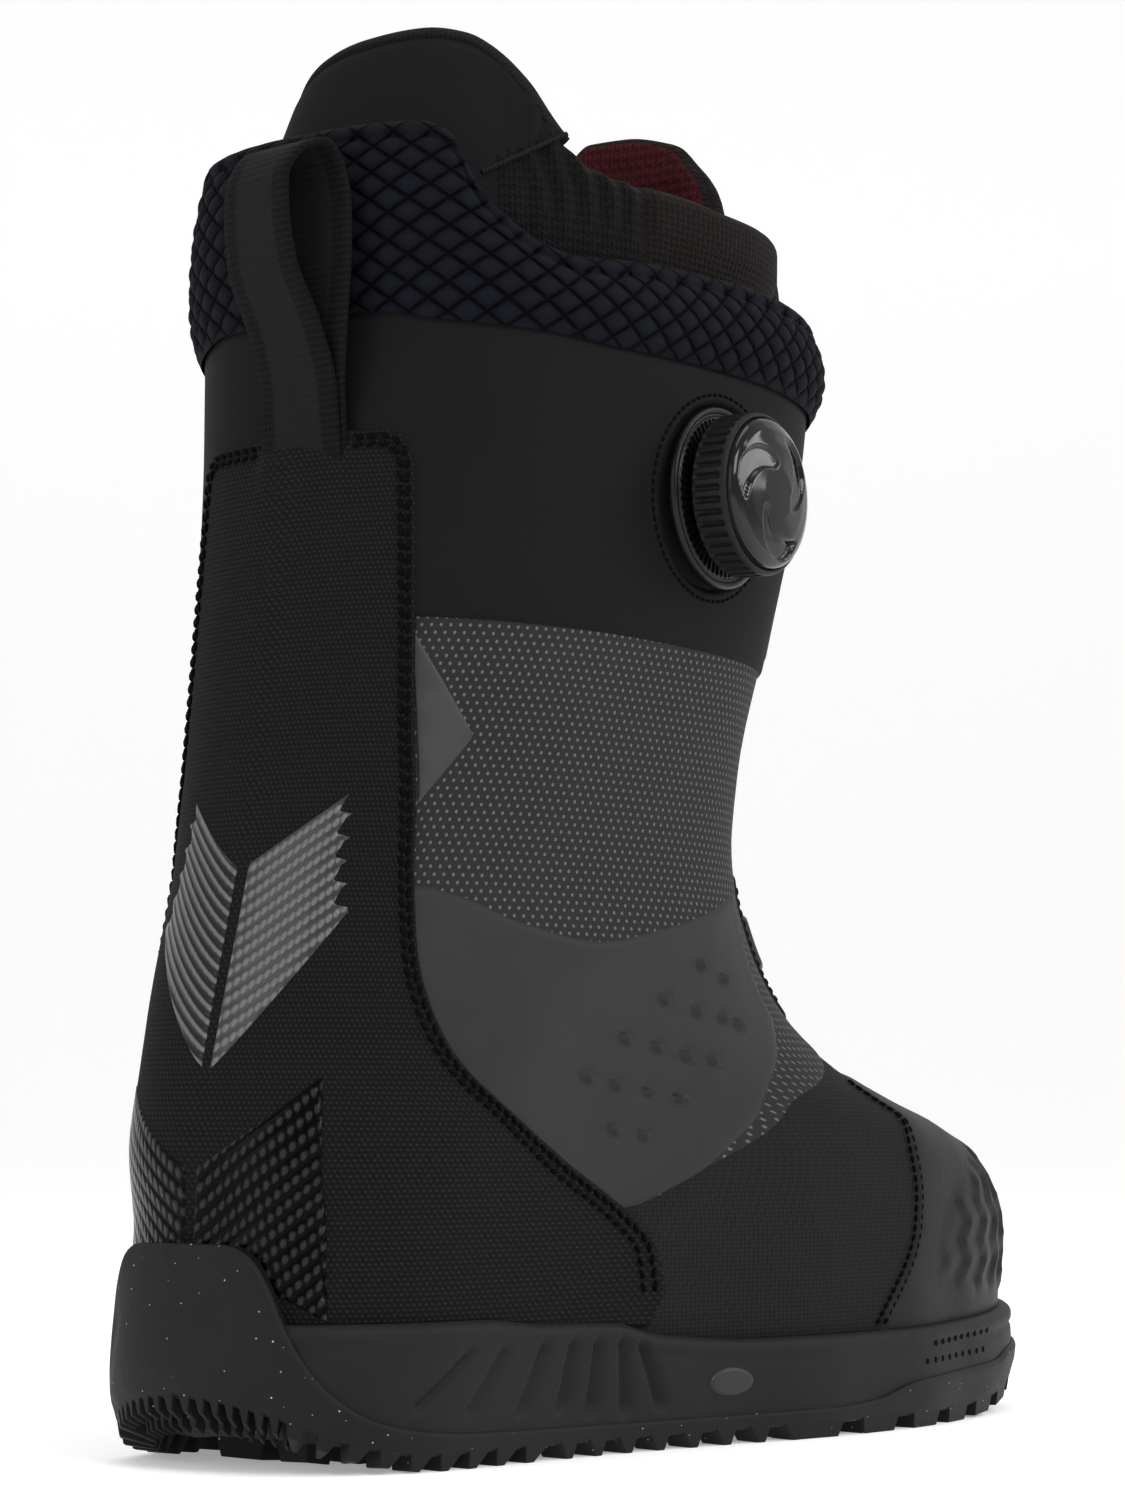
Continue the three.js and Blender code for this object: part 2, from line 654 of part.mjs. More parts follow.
function cable(radius) {
  const start = [1.3, 0.65, 0].map((a) => spoolPoint(Math.PI / 2 + a));
  const end = [0, 0.65, 1.3].map((a) => spoolPoint(-Math.PI / 2 - a));
  const path = new THREE.CatmullRomCurve3([...start, ...cableRoute(), ...end], false, "centripetal");
  const shape = new THREE.Shape().absarc(0, 0, radius, 0, 2 * Math.PI);
  return new THREE.ExtrudeGeometry(shape, {
    steps: 130,
    curveSegments: 3,
    extrudePath: path,
    bevelEnabled: false,
  });
}

// ---------- the dial ----------

function ring(inner, outer, from, to, segments = 32) {
  return lathe([[inner, from], [outer, from], [outer, to], [inner, to]], segments);
}

function dialHousing() {
  const profile = [
    [1.8, -8], [HOUSING_R, -8], [HOUSING_R, 2.6], [15.5, 2.6], [15.5, 8.6], [14, 8.6],
    [14, 4.2], [9.9, 4.2], [9.9, -6.8], [1.8, -6.8],
  ];
  const cup = solid(dialPlace(lathe(profile)));
  return geometryOf(cup.subtract(solid(cable(CABLE_CHANNEL_R))));
}

function dialSpool() {
  return dialPlace(lathe([
    [3.9, -6.5], [9.4, -6.5], [9.4, -5.6], [6.6, -5.3], [6.6, -3.1], [9.4, -2.8],
    [9.4, -1.9], [5.4, -1.9], [5.4, 3.4], [3.9, 3.4],
  ]));
}

// A wheel with saw teeth between two radii.
function toothedLine(inner, outer, teeth) {
  return Array.from({ length: teeth * 2 }, (_, i) => {
    const angle = (Math.PI * (i + (i % 2) * 0.6)) / teeth;
    const radius = i % 2 ? outer : inner;
    return new THREE.Vector2(radius * Math.cos(angle), radius * Math.sin(angle));
  });
}

function raised(shape, from, to) {
  const geometry = new THREE.ExtrudeGeometry(shape, {
    depth: to - from,
    bevelEnabled: false,
    curveSegments: 18,
  });
  return geometry.translate(0, 0, from);
}

function ratchetRing() {
  const shape = new THREE.Shape().absarc(0, 0, 15.5, 0, 2 * Math.PI);
  shape.holes.push(new THREE.Path(toothedLine(12.6, 13.4, 24)));
  return dialPlace(raised(shape, 8.9, 11.2));
}

function pawlDisc() {
  const shape = new THREE.Shape(toothedLine(10.9, 12.2, 8));
  shape.holes.push(new THREE.Path().absarc(0, 0, 3.9, 0, 2 * Math.PI, true));
  return dialPlace(raised(shape, 8.9, 11.2));
}

function dialKnob() {
  return dialPlace(lathe([
    [0, 13], [16.6, 13], [16.6, 4.6], [18.2, 4.6], [18.2, 14.6], [0, 14.6],
  ]));
}

function dialGrip() {
  const shape = new THREE.Shape(toothedLine(18.9, 19.7, 28));
  shape.holes.push(new THREE.Path().absarc(0, 0, 18.5, 0, 2 * Math.PI, true));
  return dialPlace(raised(shape, 4.9, 13.9));
}

// The glossy cap carries three raised crescents.
function dialCap() {
  const dome = solid(lathe([[0, 14.9], [18.2, 14.9], [18.2, 15.6], [16.4, 16.6], [0, 17.5]], 24));
  const crescents = [0, 1, 2].map((i) => {
    const shape = new THREE.Shape()
      .absarc(0, 0, 13.5, -0.55, 0.55, false)
      .absarc(-6, 0, 15.6, 0.32, -0.32, true);
    const turn = (i * 2 * Math.PI) / 3;
    return solid(raised(shape, 16, 17.9).rotateZ(turn));
  });
  return dialPlace(geometryOf(crescents.reduce((sum, piece) => sum.add(piece), dome)));
}

// ---------- the pull loop ----------

// A band of webbing that leaves the backstay, rises behind the collar and comes back down.
const LOOP_LINE = [
  [119.4, 243], [122.6, 256], [122.4, 275], [119.8, 293], [119.2, 305], [122.4, 311], [126.4, 306],
  [128.8, 295], [132, 280], [133.6, 264], [130.4, 249], [126, 241], [122, 238.4],
];

function pullLoop() {
  const line = new THREE.CatmullRomCurve3(
    LOOP_LINE.map(([y, z]) => new THREE.Vector3(y, z, 0)), true, "centripetal",
  );
  const middle = line.getSpacedPoints(44).slice(0, 44);
  const offset = (side) =>
    middle.map((p, i) => {
      const next = middle[(i + 1) % middle.length];
      const last = middle[(i + middle.length - 1) % middle.length];
      const along = next.clone().sub(last).normalize();
      return new THREE.Vector2(
        p.x + (side * along.y * LOOP_THICKNESS) / 2,
        p.y - (side * along.x * LOOP_THICKNESS) / 2,
      );
    });
  const shape = new THREE.Shape(offset(-1).reverse());
  shape.holes.push(new THREE.Path(offset(1)));
  const geometry = new THREE.ExtrudeGeometry(shape, { depth: LOOP_WIDTH, bevelEnabled: false });
  const turn = new THREE.Matrix4().makeBasis(
    new THREE.Vector3(0, 1, 0),
    new THREE.Vector3(0, 0, 1),
    new THREE.Vector3(1, 0, 0),
  );
  return geometry.applyMatrix4(turn).translate(-LOOP_WIDTH / 2, 0, 0);
}

// ---------- the inner boot ----------

const LINER_HEIGHTS = [20, 42, 54, 62, 68, 74, 80, 88, 98, 112, 132, 152, 180, 230, 290, 345];
const LINER_RIM = curve([
  [-45, 300], [-15, 299], [5, 305], [25, 308], [47, 299], [54, 302], [66, 308], [72, 314],
  [78, 323], [86, 331], [96, 334], [104, 333],
]);
const SLIT = { halfWidth: 26, from: 106, depth: 6 };
const TONGUE_RIM = curve([[-60, 336], [-42, 337.5], [-34, 336], [-20, 328], [0, 316], [10, 310]]);

function linerWall() {
  const outer = solid(filled(LINER_INSET, LINER_HEIGHTS, 28));
  const inner = solid(filled(LINER_INSET + LINER_THICKNESS, LINER_HEIGHTS, 24));
  const sole = sideBand(() => 0, (y) => MIDSOLE_TOP(y) + 11);
  const below = sideBand(() => 0, (y) => MIDSOLE_TOP(y) + 5);
  const tallInner = inner.subtract(sole);
  return outer.subtract(tallInner).subtract(below);
}

function linerShell(wall) {
  const above = sideBand(LINER_RIM, () => 400, [-60, 130], 24);
  const slit = box([-SLIT.halfWidth, SLIT.halfWidth], [-90, SLIT.depth], [SLIT.from, 400]);
  return geometryOf(wall.subtract(above).subtract(slit));
}

function linerTongue(wall) {
  const half = SLIT.halfWidth - 0.4;
  const slot = box([-half, half], [-90, SLIT.depth], [SLIT.from + 0.4, 400]);
  const above = sideBand(TONGUE_RIM, () => 400, [-60, 10], 12);
  return geometryOf(wall.intersect(slot).subtract(above));
}

function footbed() {
  const inner = solid(filled(LINER_INSET + LINER_THICKNESS + 0.5, [20, 42, 54], 24));
  return geometryOf(inner.intersect(sideBand(
    (y) => MIDSOLE_TOP(y) + 11.3,
    (y) => MIDSOLE_TOP(y) + 14.8,
  )));
}

// ---------- the whole boot ----------

add("outsole", outsole(), "rubber");
add("midsole", midsole(), "foam");
add("lasting_board", geometryOf(onMidsole(GAP, 2.8, planPrism(8))), "board");
add("shank", geometryOf(onMidsole(3.1, 4.6, box([-13, 13], [-30, 85], [0, 60]))), "steel");
add("midsole_badge_lateral", midsoleBadge(1), "label");
add("midsole_badge_medial", midsoleBadge(-1), "label");

add("toe_cap", toeCap(), "toe");
add("vamp", vamp(), "fabric");
add("heel_counter", heelCounter(), "plastic");
add("backstay", backstay(), "webbing");
add("shell_tongue", shellTongue(), "fabric");

const SIDES = [["lateral", 1], ["medial", -1]];
for (const [sideName, side] of SIDES) {
  add("quarter_" + sideName, quarter(side), "fabric");
  add("ankle_panel_" + sideName, anklePanel(side), "film");
  add("flex_panel_" + sideName, flexPanel(side), "dotted");
  add("instep_eyestay_" + sideName, eyestay(side, 103.5, 139), "webbing");
  add("cuff_eyestay_" + sideName, eyestay(side, 192, 251), "webbing");
  add("side_label_" + sideName, label(side), "label");
  const upperArm = [[-2, 90], [-26.5, 117], [-2, 137], [-25, 153]];
  const lowerArm = [[-1.5, 53], [-31, 36], [-1.5, 67], [-29, 88]];
  add("chevron_upper_" + sideName, chevron(upperArm, side), "silver");
  add("chevron_lower_" + sideName, chevron(lowerArm, side), "black");
}

add("cuff_shell", cuffShell(), "cuff");
add("collar", collar(), "quilt");
add("pull_loop", pullLoop(), "webbing");
for (const { name, side, high, low } of GUIDES) add(name, guideBlock(side, high, low), "plastic");
add("lace_cable", cable(CABLE_R), "steel");

add("dial_flange", dialPlace(ring(HOUSING_R + GAP, 21.5, GAP, 2.3)), "gloss");
add("dial_housing", dialHousing(), "plastic");
add("dial_axle", dialPlace(disc(1.5, -7.9, 12.2, 16)), "steel");
add("dial_spool", dialSpool(), "nylon");
add("dial_ratchet_ring", ratchetRing(), "nylon");
add("dial_bushing", dialPlace(ring(1.8, 3.6, -6.4, 12.7, 20)), "nylon");
add("dial_pawl_disc", pawlDisc(), "nylon");
add("dial_spring_washer", dialPlace(lathe([[6, 11.6], [11, 12.1], [11, 12.6], [6, 12.1]])), "steel");
add("dial_knob", dialKnob(), "plastic");
add("dial_grip", dialGrip(), "rubber");
add("dial_cap", dialCap(), "gloss");

const wall = linerWall();
add("liner_shell", linerShell(wall), "liner");
add("liner_tongue", linerTongue(wall), "liner");
add("footbed", footbed(), "footbed");

export default boot;
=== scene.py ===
import math

import bmesh
import bpy
import numpy as np
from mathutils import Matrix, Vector
from mathutils.geometry import delaunay_2d_cdt


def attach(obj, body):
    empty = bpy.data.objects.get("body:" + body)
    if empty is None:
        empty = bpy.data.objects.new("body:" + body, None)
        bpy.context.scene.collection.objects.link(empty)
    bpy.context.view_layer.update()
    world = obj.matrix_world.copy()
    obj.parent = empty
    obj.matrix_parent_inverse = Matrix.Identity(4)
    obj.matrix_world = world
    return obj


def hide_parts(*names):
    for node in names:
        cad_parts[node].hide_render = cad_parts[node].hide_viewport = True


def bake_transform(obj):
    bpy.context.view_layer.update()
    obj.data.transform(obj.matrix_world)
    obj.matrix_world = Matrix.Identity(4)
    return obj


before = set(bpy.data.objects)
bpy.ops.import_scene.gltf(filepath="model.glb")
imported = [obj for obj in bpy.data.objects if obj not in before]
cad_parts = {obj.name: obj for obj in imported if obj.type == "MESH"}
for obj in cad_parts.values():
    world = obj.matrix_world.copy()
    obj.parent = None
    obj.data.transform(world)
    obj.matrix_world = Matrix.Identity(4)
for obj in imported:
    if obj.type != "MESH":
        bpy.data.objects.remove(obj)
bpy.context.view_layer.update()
SIDES = (("lateral", False), ("medial", True))  # a side's name, and whether it is mirrored

# ---------------------------------------------------------------- the boot's surface (millimetres)


def curve(knots):
    """A smooth curve through [where, value] knots that never overshoots them."""
    x, y = (np.array(c, float) for c in zip(*knots))
    h, d = np.diff(x), np.diff(y) / np.diff(x)
    m = np.zeros(len(x))
    m[0], m[-1] = d[0], d[-1]
    for i in range(1, len(x) - 1):
        if d[i - 1] * d[i] > 0:
            a, b = 2 * h[i] + h[i - 1], h[i] + 2 * h[i - 1]
            m[i] = (a + b) / (a / d[i - 1] + b / d[i])

    def at(v):
        v = np.clip(np.asarray(v, float), x[0], x[-1])
        i = np.clip(np.searchsorted(x, v, side="right") - 1, 0, len(h) - 1)
        t = (v - x[i]) / h[i]
        t2, t3 = t * t, t * t * t
        return (
            y[i] * (2 * t3 - 3 * t2 + 1)
            + y[i + 1] * (3 * t2 - 2 * t3)
            + h[i] * (m[i] * (t3 - 2 * t2 + t) + m[i + 1] * (t3 - t2))
        )

    return at


BACK = curve([(0, 143), (20, 146), (40, 146), (60, 145), (80, 141.5), (100, 136.5), (130, 128.5),
              (160, 121), (200, 115.5), (240, 112), (300, 111)])
FRONT = curve([(20, -160), (36, -161), (50, -160), (60, -156), (70, -146.5), (78, -127), (84, -103),
               (89, -86), (95, -72), (102, -59.5), (112, -47), (122, -38.5), (135, -31.5),
               (150, -28.5), (165, -29.5), (200, -38), (240, -48), (270, -51.5), (300, -52)])
FRONT_ROUNDING = curve([(30, 66), (55, 68), (70, 84), (85, 98), (100, 96), (115, 86), (130, 80),
                        (160, 78), (200, 78), (300, 82)])
BACK_ROUNDING = curve([(30, 50), (60, 52), (100, 66), (130, 78), (160, 80), (200, 80), (300, 84)])
SHAFT_HALF = curve([(30, 52), (90, 51), (130, 51.5), (160, 54), (200, 58.5), (240, 62), (270, 63),
                    (300, 63.5)])
FOOT_LATERAL = curve([(-152, 50), (-120, 52), (-95, 54), (-60, 57), (-30, 57), (10, 51), (50, 46),
                      (90, 44.5), (152, 44)])
FOOT_MEDIAL = curve([(-152, 48), (-120, 52), (-95, 55), (-60, 55.5), (-30, 52), (10, 44), (50, 41),
                     (90, 41.5), (152, 42)])
TOE_SHIFT = curve([(-152, 6), (-120, 5), (-95, 3), (-60, 0), (152, 0)])
MIDSOLE_TOP = curve([(-161, 29.5), (-130, 27.5), (-98, 26), (-50, 25), (-5, 25), (34, 27.5),
                     (47, 30.5), (75, 31.5), (95, 33), (150, 33)])
GROUND = curve([(-165, 19), (-155, 12.5), (-135, 5.5), (-110, 1.2), (-86, 0), (110, 0), (128, 3),
                (140, 9), (150, 16)])
GIRTH = 230.0  # millimetres of girth in one unit of s
THROAT = 0.865
QUILT_W, QUILT_H = 9.0, 6.6  # a sewn diamond of the collar


def ease(a, b, x):
    t = np.clip((np.asarray(x, float) - a) / (b - a), 0, 1)
    return t * t * (3 - 2 * t)


def hump(x, width):
    """1 at x = 0, falling off smoothly on both sides."""
    return np.exp(-(x / width) ** 2)


def unit(v):
    return v / np.maximum(1e-9, np.linalg.norm(v, axis=-1, keepdims=True))


def spread(*values):
    return np.broadcast_arrays(*(np.asarray(v, float) for v in values))


def along(path, power=1.0):
    """How far along the path each of its points lies."""
    return np.r_[0, np.cumsum(np.linalg.norm(np.diff(path, axis=0), axis=1) ** power)]


def read(t, d, points):
    """Points that lie at lengths d, read at lengths t."""
    return np.stack([np.interp(t, d, c) for c in points.T], -1)


def through(t, d, points):
    """The same, on a smooth curve through them."""
    return np.stack([curve(list(zip(d, c)))(t) for c in points.T], -1)


def outline(s, z, inset=0.0):
    """s runs 0 at the heel to 1 at the toe on the lateral side, -1 on the medial side."""
    s, z = spread(s, z)
    s = np.where(s > 1, s - 2, np.where(s < -1, s + 2, s))
    back = BACK(z) - inset
    front = np.maximum(FRONT(z), FRONT(z + np.maximum(inset, 0))) + inset
    y = front + (back - front) * (1 + np.cos(np.pi * np.abs(s))) / 2
    fd = np.minimum(FRONT_ROUNDING(z), (back - front) * 0.55)
    bd = np.minimum(BACK_ROUNDING(z), back - front - fd)
    n = 2.3 + 0.15 * ease(60, 160, z)
    qf, qb = np.clip((y - front) / fd, 0, 1), np.clip((back - y) / bd, 0, 1)
    e = np.clip(1 - (1 - qf) ** n, 0, 1) ** (1 / n) * np.clip(1 - (1 - qb) ** n, 0, 1) ** (1 / n)
    foot = np.where(s > 0, FOOT_LATERAL(y), FOOT_MEDIAL(y))
    k = ease(55, 125, z)
    half = foot * (1 - k) + SHAFT_HALF(z) * k - inset
    x = np.where(s > 0, -1, 1) * half * e + TOE_SHIFT(y) * (1 - k)
    return np.stack([x, y, z * np.ones_like(s)], -1)


def normals(s, z):
    z = np.asarray(z, float)
    return unit(np.cross(outline(s + 0.012, z) - outline(s - 0.012, z), outline(s, z + 1.5) - outline(s, z - 1.5)))


def level_normals(s, z):
    return unit(normals(s, z) * (1, 1, 0))


def surface(s, z, out=0.0):
    s, z, out = spread(s, z, out)
    return outline(s, z) + normals(s, z) * out[..., None]


def upper(s, z, out=0.0):
    """The upper is drawn in a little where the sole and heel cup wrap it."""
    s, z, out = spread(s, z, out)
    side = ease(0.12, 0.35, np.abs(np.where(s > 1, s - 2, s)))
    tuck = 3 * (1 - ease(52, 76, z)) * (1 - side) + 1.2 * (1 - ease(34, 50, z)) * side
    return surface(s, z, out - tuck)


def s_at(y, z):
    share = (np.asarray(y, float) - FRONT(z)) / (BACK(z) - FRONT(z))
    return np.arccos(np.clip(2 * share - 1, -1, 1)) / np.pi


def side(points):
    """[y, z] points of the side view as [s, z]."""
    return [(float(s_at(y, z)), float(z)) for y, z in points]


# ---------------------------------------------------------------- mesh helpers


def new_mesh(name, verts_mm, faces, uv, *finishes, smooth=True):
    mesh = bpy.data.meshes.new(name)
    mesh.from_pydata((np.asarray(verts_mm, float) * 0.001).tolist(), [], [list(map(int, f)) for f in faces])
    layer = mesh.uv_layers.new(name="UVMap")
    index = np.empty(len(mesh.loops), int)
    mesh.loops.foreach_get("vertex_index", index)
    layer.data.foreach_set("uv", np.asarray(uv, float)[index].ravel())
    mesh.update()
    if smooth:
        mesh.shade_smooth()
    for finish in finishes:
        mesh.materials.append(M[finish])
    obj = bpy.data.objects.new(name, mesh)
    bpy.context.collection.objects.link(obj)
    return obj


def smooth_line(points, step=2.0):
    """Points of a line in [s, z], resampled every `step` millimetres and rounded at its knots."""
    p = np.array(points, float) * (GIRTH, 1)
    if len(p) > 2:
        d = along(p, 0.5)
        p = through(np.linspace(0, d[-1], 60 * len(p)), d, p)
    d = along(p)
    n = max(2, int(round(d[-1] / step)) + 1)
    return read(np.linspace(0, d[-1], n), d, p) / (GIRTH, 1)


def joined(*lines, step=2.0):
    """Closed outline from lines, each resampled on its own so that corners stay sharp."""
    return np.vstack([smooth_line(line, step)[:-1] for line in lines])


def corners(*points, step=2.0):
    """Closed outline with straight sides."""
    return joined(*zip(points, points[1:] + points[:1]), step=step)


def inside(points, polygon):
    x, y = points[:, 0], points[:, 1]
    hit = np.zeros(len(points), bool)
    for (x0, y0), (x1, y1) in zip(polygon, np.roll(polygon, -1, axis=0)):
        if y0 != y1:
            hit ^= ((y0 > y) != (y1 > y)) & (x < (x1 - x0) * (y - y0) / (y1 - y0) + x0)
    return hit


def distance_to(points, line, skip=()):
    """Distance from each point to a closed line, without the edges in skip."""
    best = np.full(len(points), 1e9)
    for k, (p, q) in enumerate(zip(line, np.roll(line, -1, axis=0))):
        if k not in skip:
            t = np.clip(((points - p) @ (q - p)) / max(1e-9, (q - p) @ (q - p)), 0, 1)
            best = np.minimum(best, np.linalg.norm(points - p - t[:, None] * (q - p), axis=1))
    return best


def scatter(ring, spacing, edge, extra):
    """Points inside a panel's outline: a staggered field, extra ones, and rows along the rounded edge."""
    low, high = ring.min(0), ring.max(0)
    gx, gz = np.meshgrid(np.arange(low[0], high[0], spacing), np.arange(low[1], high[1], spacing))
    gx[1::2] += spacing / 2
    field = np.stack([gx.ravel(), gz.ravel()], -1)
    field = field[inside(field, ring)]
    sets = [field[distance_to(field, ring) > edge + 0.6]]
    if extra is not None:
        e = np.array(extra, float) * (GIRTH, 1)
        e = e[inside(e, ring)]
        clear = [np.min(np.linalg.norm(e - p, axis=1)) > spacing * 0.45 for p in sets[0]]
        sets = [sets[0][np.array(clear)], e]
    tangent = np.roll(ring, -1, axis=0) - np.roll(ring, 1, axis=0)
    inward = unit(np.stack([-tangent[:, 1], tangent[:, 0]], -1))
    for r in (0.3 * edge, 0.65 * edge, edge):
        p = ring + inward * r
        p = p[inside(p, ring)]
        sets.append(p[distance_to(p, ring) > 0.92 * r])
    return np.vstack(sets)


def panel(name, polygon, base, thick, finish, spacing=3.0, edge=1.6, relief=None, skin=upper,
          extra=None, mirror=False, skirt=1.5, wrap=False):
    """A sheet laid on the boot inside a closed [s, z] outline, with rounded edges and an optional relief."""
    ring = np.array(polygon, float) * (GIRTH, 1)
    if np.sum(ring[:, 0] * np.roll(ring[:, 1], -1) - np.roll(ring[:, 0], -1) * ring[:, 1]) < 0:
        ring = ring[::-1]
    n = len(ring)
    flat = np.vstack([ring, scatter(ring, spacing, edge, extra)])
    out = delaunay_2d_cdt([Vector(map(float, p)) for p in flat], [(i, (i + 1) % n) for i in range(n)],
                          [list(range(n))], 1, 1e-4)
    co = np.array([tuple(v) for v in out[0]])
    faces = [list(f) for f in out[2]]
    order = {given: made for made, source in enumerate(out[3]) for given in source if given < n}
    loop = [order[i] for i in range(n) if i in order]
    following = np.roll(ring, -1, axis=0)
    welded = {k for k in range(n) if wrap and ring[k, 0] == following[k, 0] and ring[k, 0] in (0.0, 2 * GIRTH)}
    d = distance_to(co, ring, welded)
    height = base + thick * np.sqrt(np.clip(1 - (1 - np.clip(d / edge, 0, 1)) ** 2, 0, 1))
    s, z = co[:, 0] / GIRTH, co[:, 1]
    if mirror:
        s = -s
    if relief is not None:
        height = height + relief(s, z, d)
    foot = skin(s[loop], z[loop], np.full(len(loop), base - skirt))
    pts = np.vstack([skin(s, z, height), foot])
    uv = np.vstack([np.stack([s * GIRTH, z], -1), np.stack([s[loop] * GIRTH, z[loop]], -1)])
    for k in range(len(loop)):
        if k not in welded:
            k2 = (k + 1) % len(loop)
            faces.append([loop[k], loop[k2], len(co) + k2, len(co) + k])
    obj = new_mesh(name, pts, turned_out(pts, faces, s, z), uv, finish)
    if wrap:
        shape = bmesh.new()
        shape.from_mesh(obj.data)
        bmesh.ops.remove_doubles(shape, verts=shape.verts, dist=0.00012)
        shape.to_mesh(obj.data)
        shape.free()
    return obj


def turned_out(pts, faces, s, z):
    """The faces, wound so that the first one looks out of the boot."""
    f = faces[0]
    a, b, c = (pts[i] for i in f[:3])
    out = normals(s[[f[0]]], z[[f[0]]])[0]
    return [g[::-1] for g in faces] if np.cross(b - a, c - a) @ out < 0 else faces


def quads(rows, cols, closed=True, start=0):
    """Faces between rows of vertices."""
    return [[start + i * cols + j, start + i * cols + (j + 1) % cols,
             start + (i + 1) * cols + (j + 1) % cols, start + (i + 1) * cols + j]
            for i in range(rows - 1) for j in range(cols if closed else cols - 1)]


def flipped(faces):
    """The faces turned over, each from the same corner as before."""
    return [[f[0], *f[:0:-1]] for f in faces]


def grid(name, P, uv, *finishes, closed=False):
    """A structured sheet from an array of points, rows by columns."""
    P, uv = np.asarray(P), np.asarray(uv)
    return new_mesh(name, P.reshape(-1, 3), quads(*P.shape[:2], closed), uv.reshape(-1, 2), *finishes)


def frames(path):
    nxt, prv = np.roll(path, -1, axis=0), np.roll(path, 1, axis=0)
    nxt[-1], prv[0] = path[-1], path[0]
    return unit(nxt - prv)


def resample(path, step):
    path = np.asarray(path, float)
    d = along(path)
    return read(np.linspace(0, d[-1], max(2, int(round(d[-1] / step))) + 1), d, path)


def tube(name, path, radius, finish, sides=8, up=(0, 0, 1)):
    t = frames(path)
    a = unit(np.cross(t, np.array(up, float)))
    b = np.cross(a, t)
    r = np.broadcast_to(np.asarray(radius, float), (len(path),))[:, None]
    turns = np.arange(sides) / sides * 2 * math.pi
    P = np.stack([path + r * (math.cos(q) * a + math.sin(q) * b) for q in turns], 1)
    uv = np.stack(np.meshgrid(turns * float(np.mean(r)), along(P[:, 0])), -1)
    return grid(name, P, uv, finish, closed=True)


STITCH_RINGS = [(-0.5, 0.25), (-0.36, 0.8), (0.0, 1.0), (0.36, 0.8), (0.5, 0.25)]  # share of length, of radius
STITCH_SIDES = 6


def stitches(name, path, out_dirs, finish, pitch=3.4, length=2.5, radius=0.42, skew=0.0):
    """A row of thread stitches: one small rounded capsule after another along a path."""
    d = along(path)
    count = max(1, int(d[-1] / pitch))
    at = (np.arange(count) + 0.5) * d[-1] / count
    c, n = read(at, d, path), unit(read(at, d, out_dirs))
    t = unit(read(at + 0.5, d, path) - read(at - 0.5, d, path))
    t = unit(t + skew * np.cross(n, t))
    b = np.cross(n, t)
    verts, faces, uv = [], [], []
    for i in range(count):
        o = len(verts)
        for a, r in STITCH_RINGS:
            arch = 0.3 * radius * (1 - (2 * a) ** 2)
            for k in range(STITCH_SIDES):
                q = 2 * math.pi * k / STITCH_SIDES
                verts.append(c[i] + t[i] * a * length + n[i] * (arch + radius * r * math.sin(q))
                             + b[i] * radius * r * math.cos(q))
                uv.append((k, a * length))
        faces += quads(len(STITCH_RINGS), STITCH_SIDES, start=o)
        faces.append(list(range(o, o + STITCH_SIDES))[::-1])
        faces.append(list(range(len(verts) - STITCH_SIDES, len(verts))))
    return new_mesh(name, verts, faces, uv, finish)


def seam(name, line, out, mirror=False, **look):
    """Stitches along a [s, z] line, `out` millimetres off the boot."""
    q = smooth_line(line, 1.0)
    s = -q[:, 0] if mirror else q[:, 0]
    return carry(stitches(name, upper(s, q[:, 1], out), normals(s, q[:, 1]), "thread", **look))


def offset_line(line, by):
    """The same [s, z] line moved sideways by `by` millimetres, to its left."""
    q = smooth_line(line, 1.0) * (GIRTH, 1)
    t = unit(np.gradient(q, axis=0))
    return (q + np.stack([-t[:, 1], t[:, 0]], -1) * by) / (GIRTH, 1)


BEND_FROM, BEND_TO = 0.112, 0.190  # metres: below, all goes with the lower boot; above, with the cuff


def carry(obj, *nodes):
    """obj goes with the lower boot or the cuff by its height; one that reaches between them is left with no body, its
    transform baked into its mesh.
    """
    z = np.array([v.co.z for v in obj.data.vertices])
    if z.max() < BEND_FROM:
        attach(obj, "lower_boot")
    elif z.min() > BEND_TO:
        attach(obj, "cuff")
    else:
        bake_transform(obj)
    if nodes:
        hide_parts(*nodes)
    return obj


def lay(name, node, *sheet, **look):
    """A panel that stands for a CAD node."""
    carry(panel(name, *sheet, **look), node)


# ---------------------------------------------------------------- materials


def scaled(color, by):
    return tuple(min(1, c * by) for c in color)


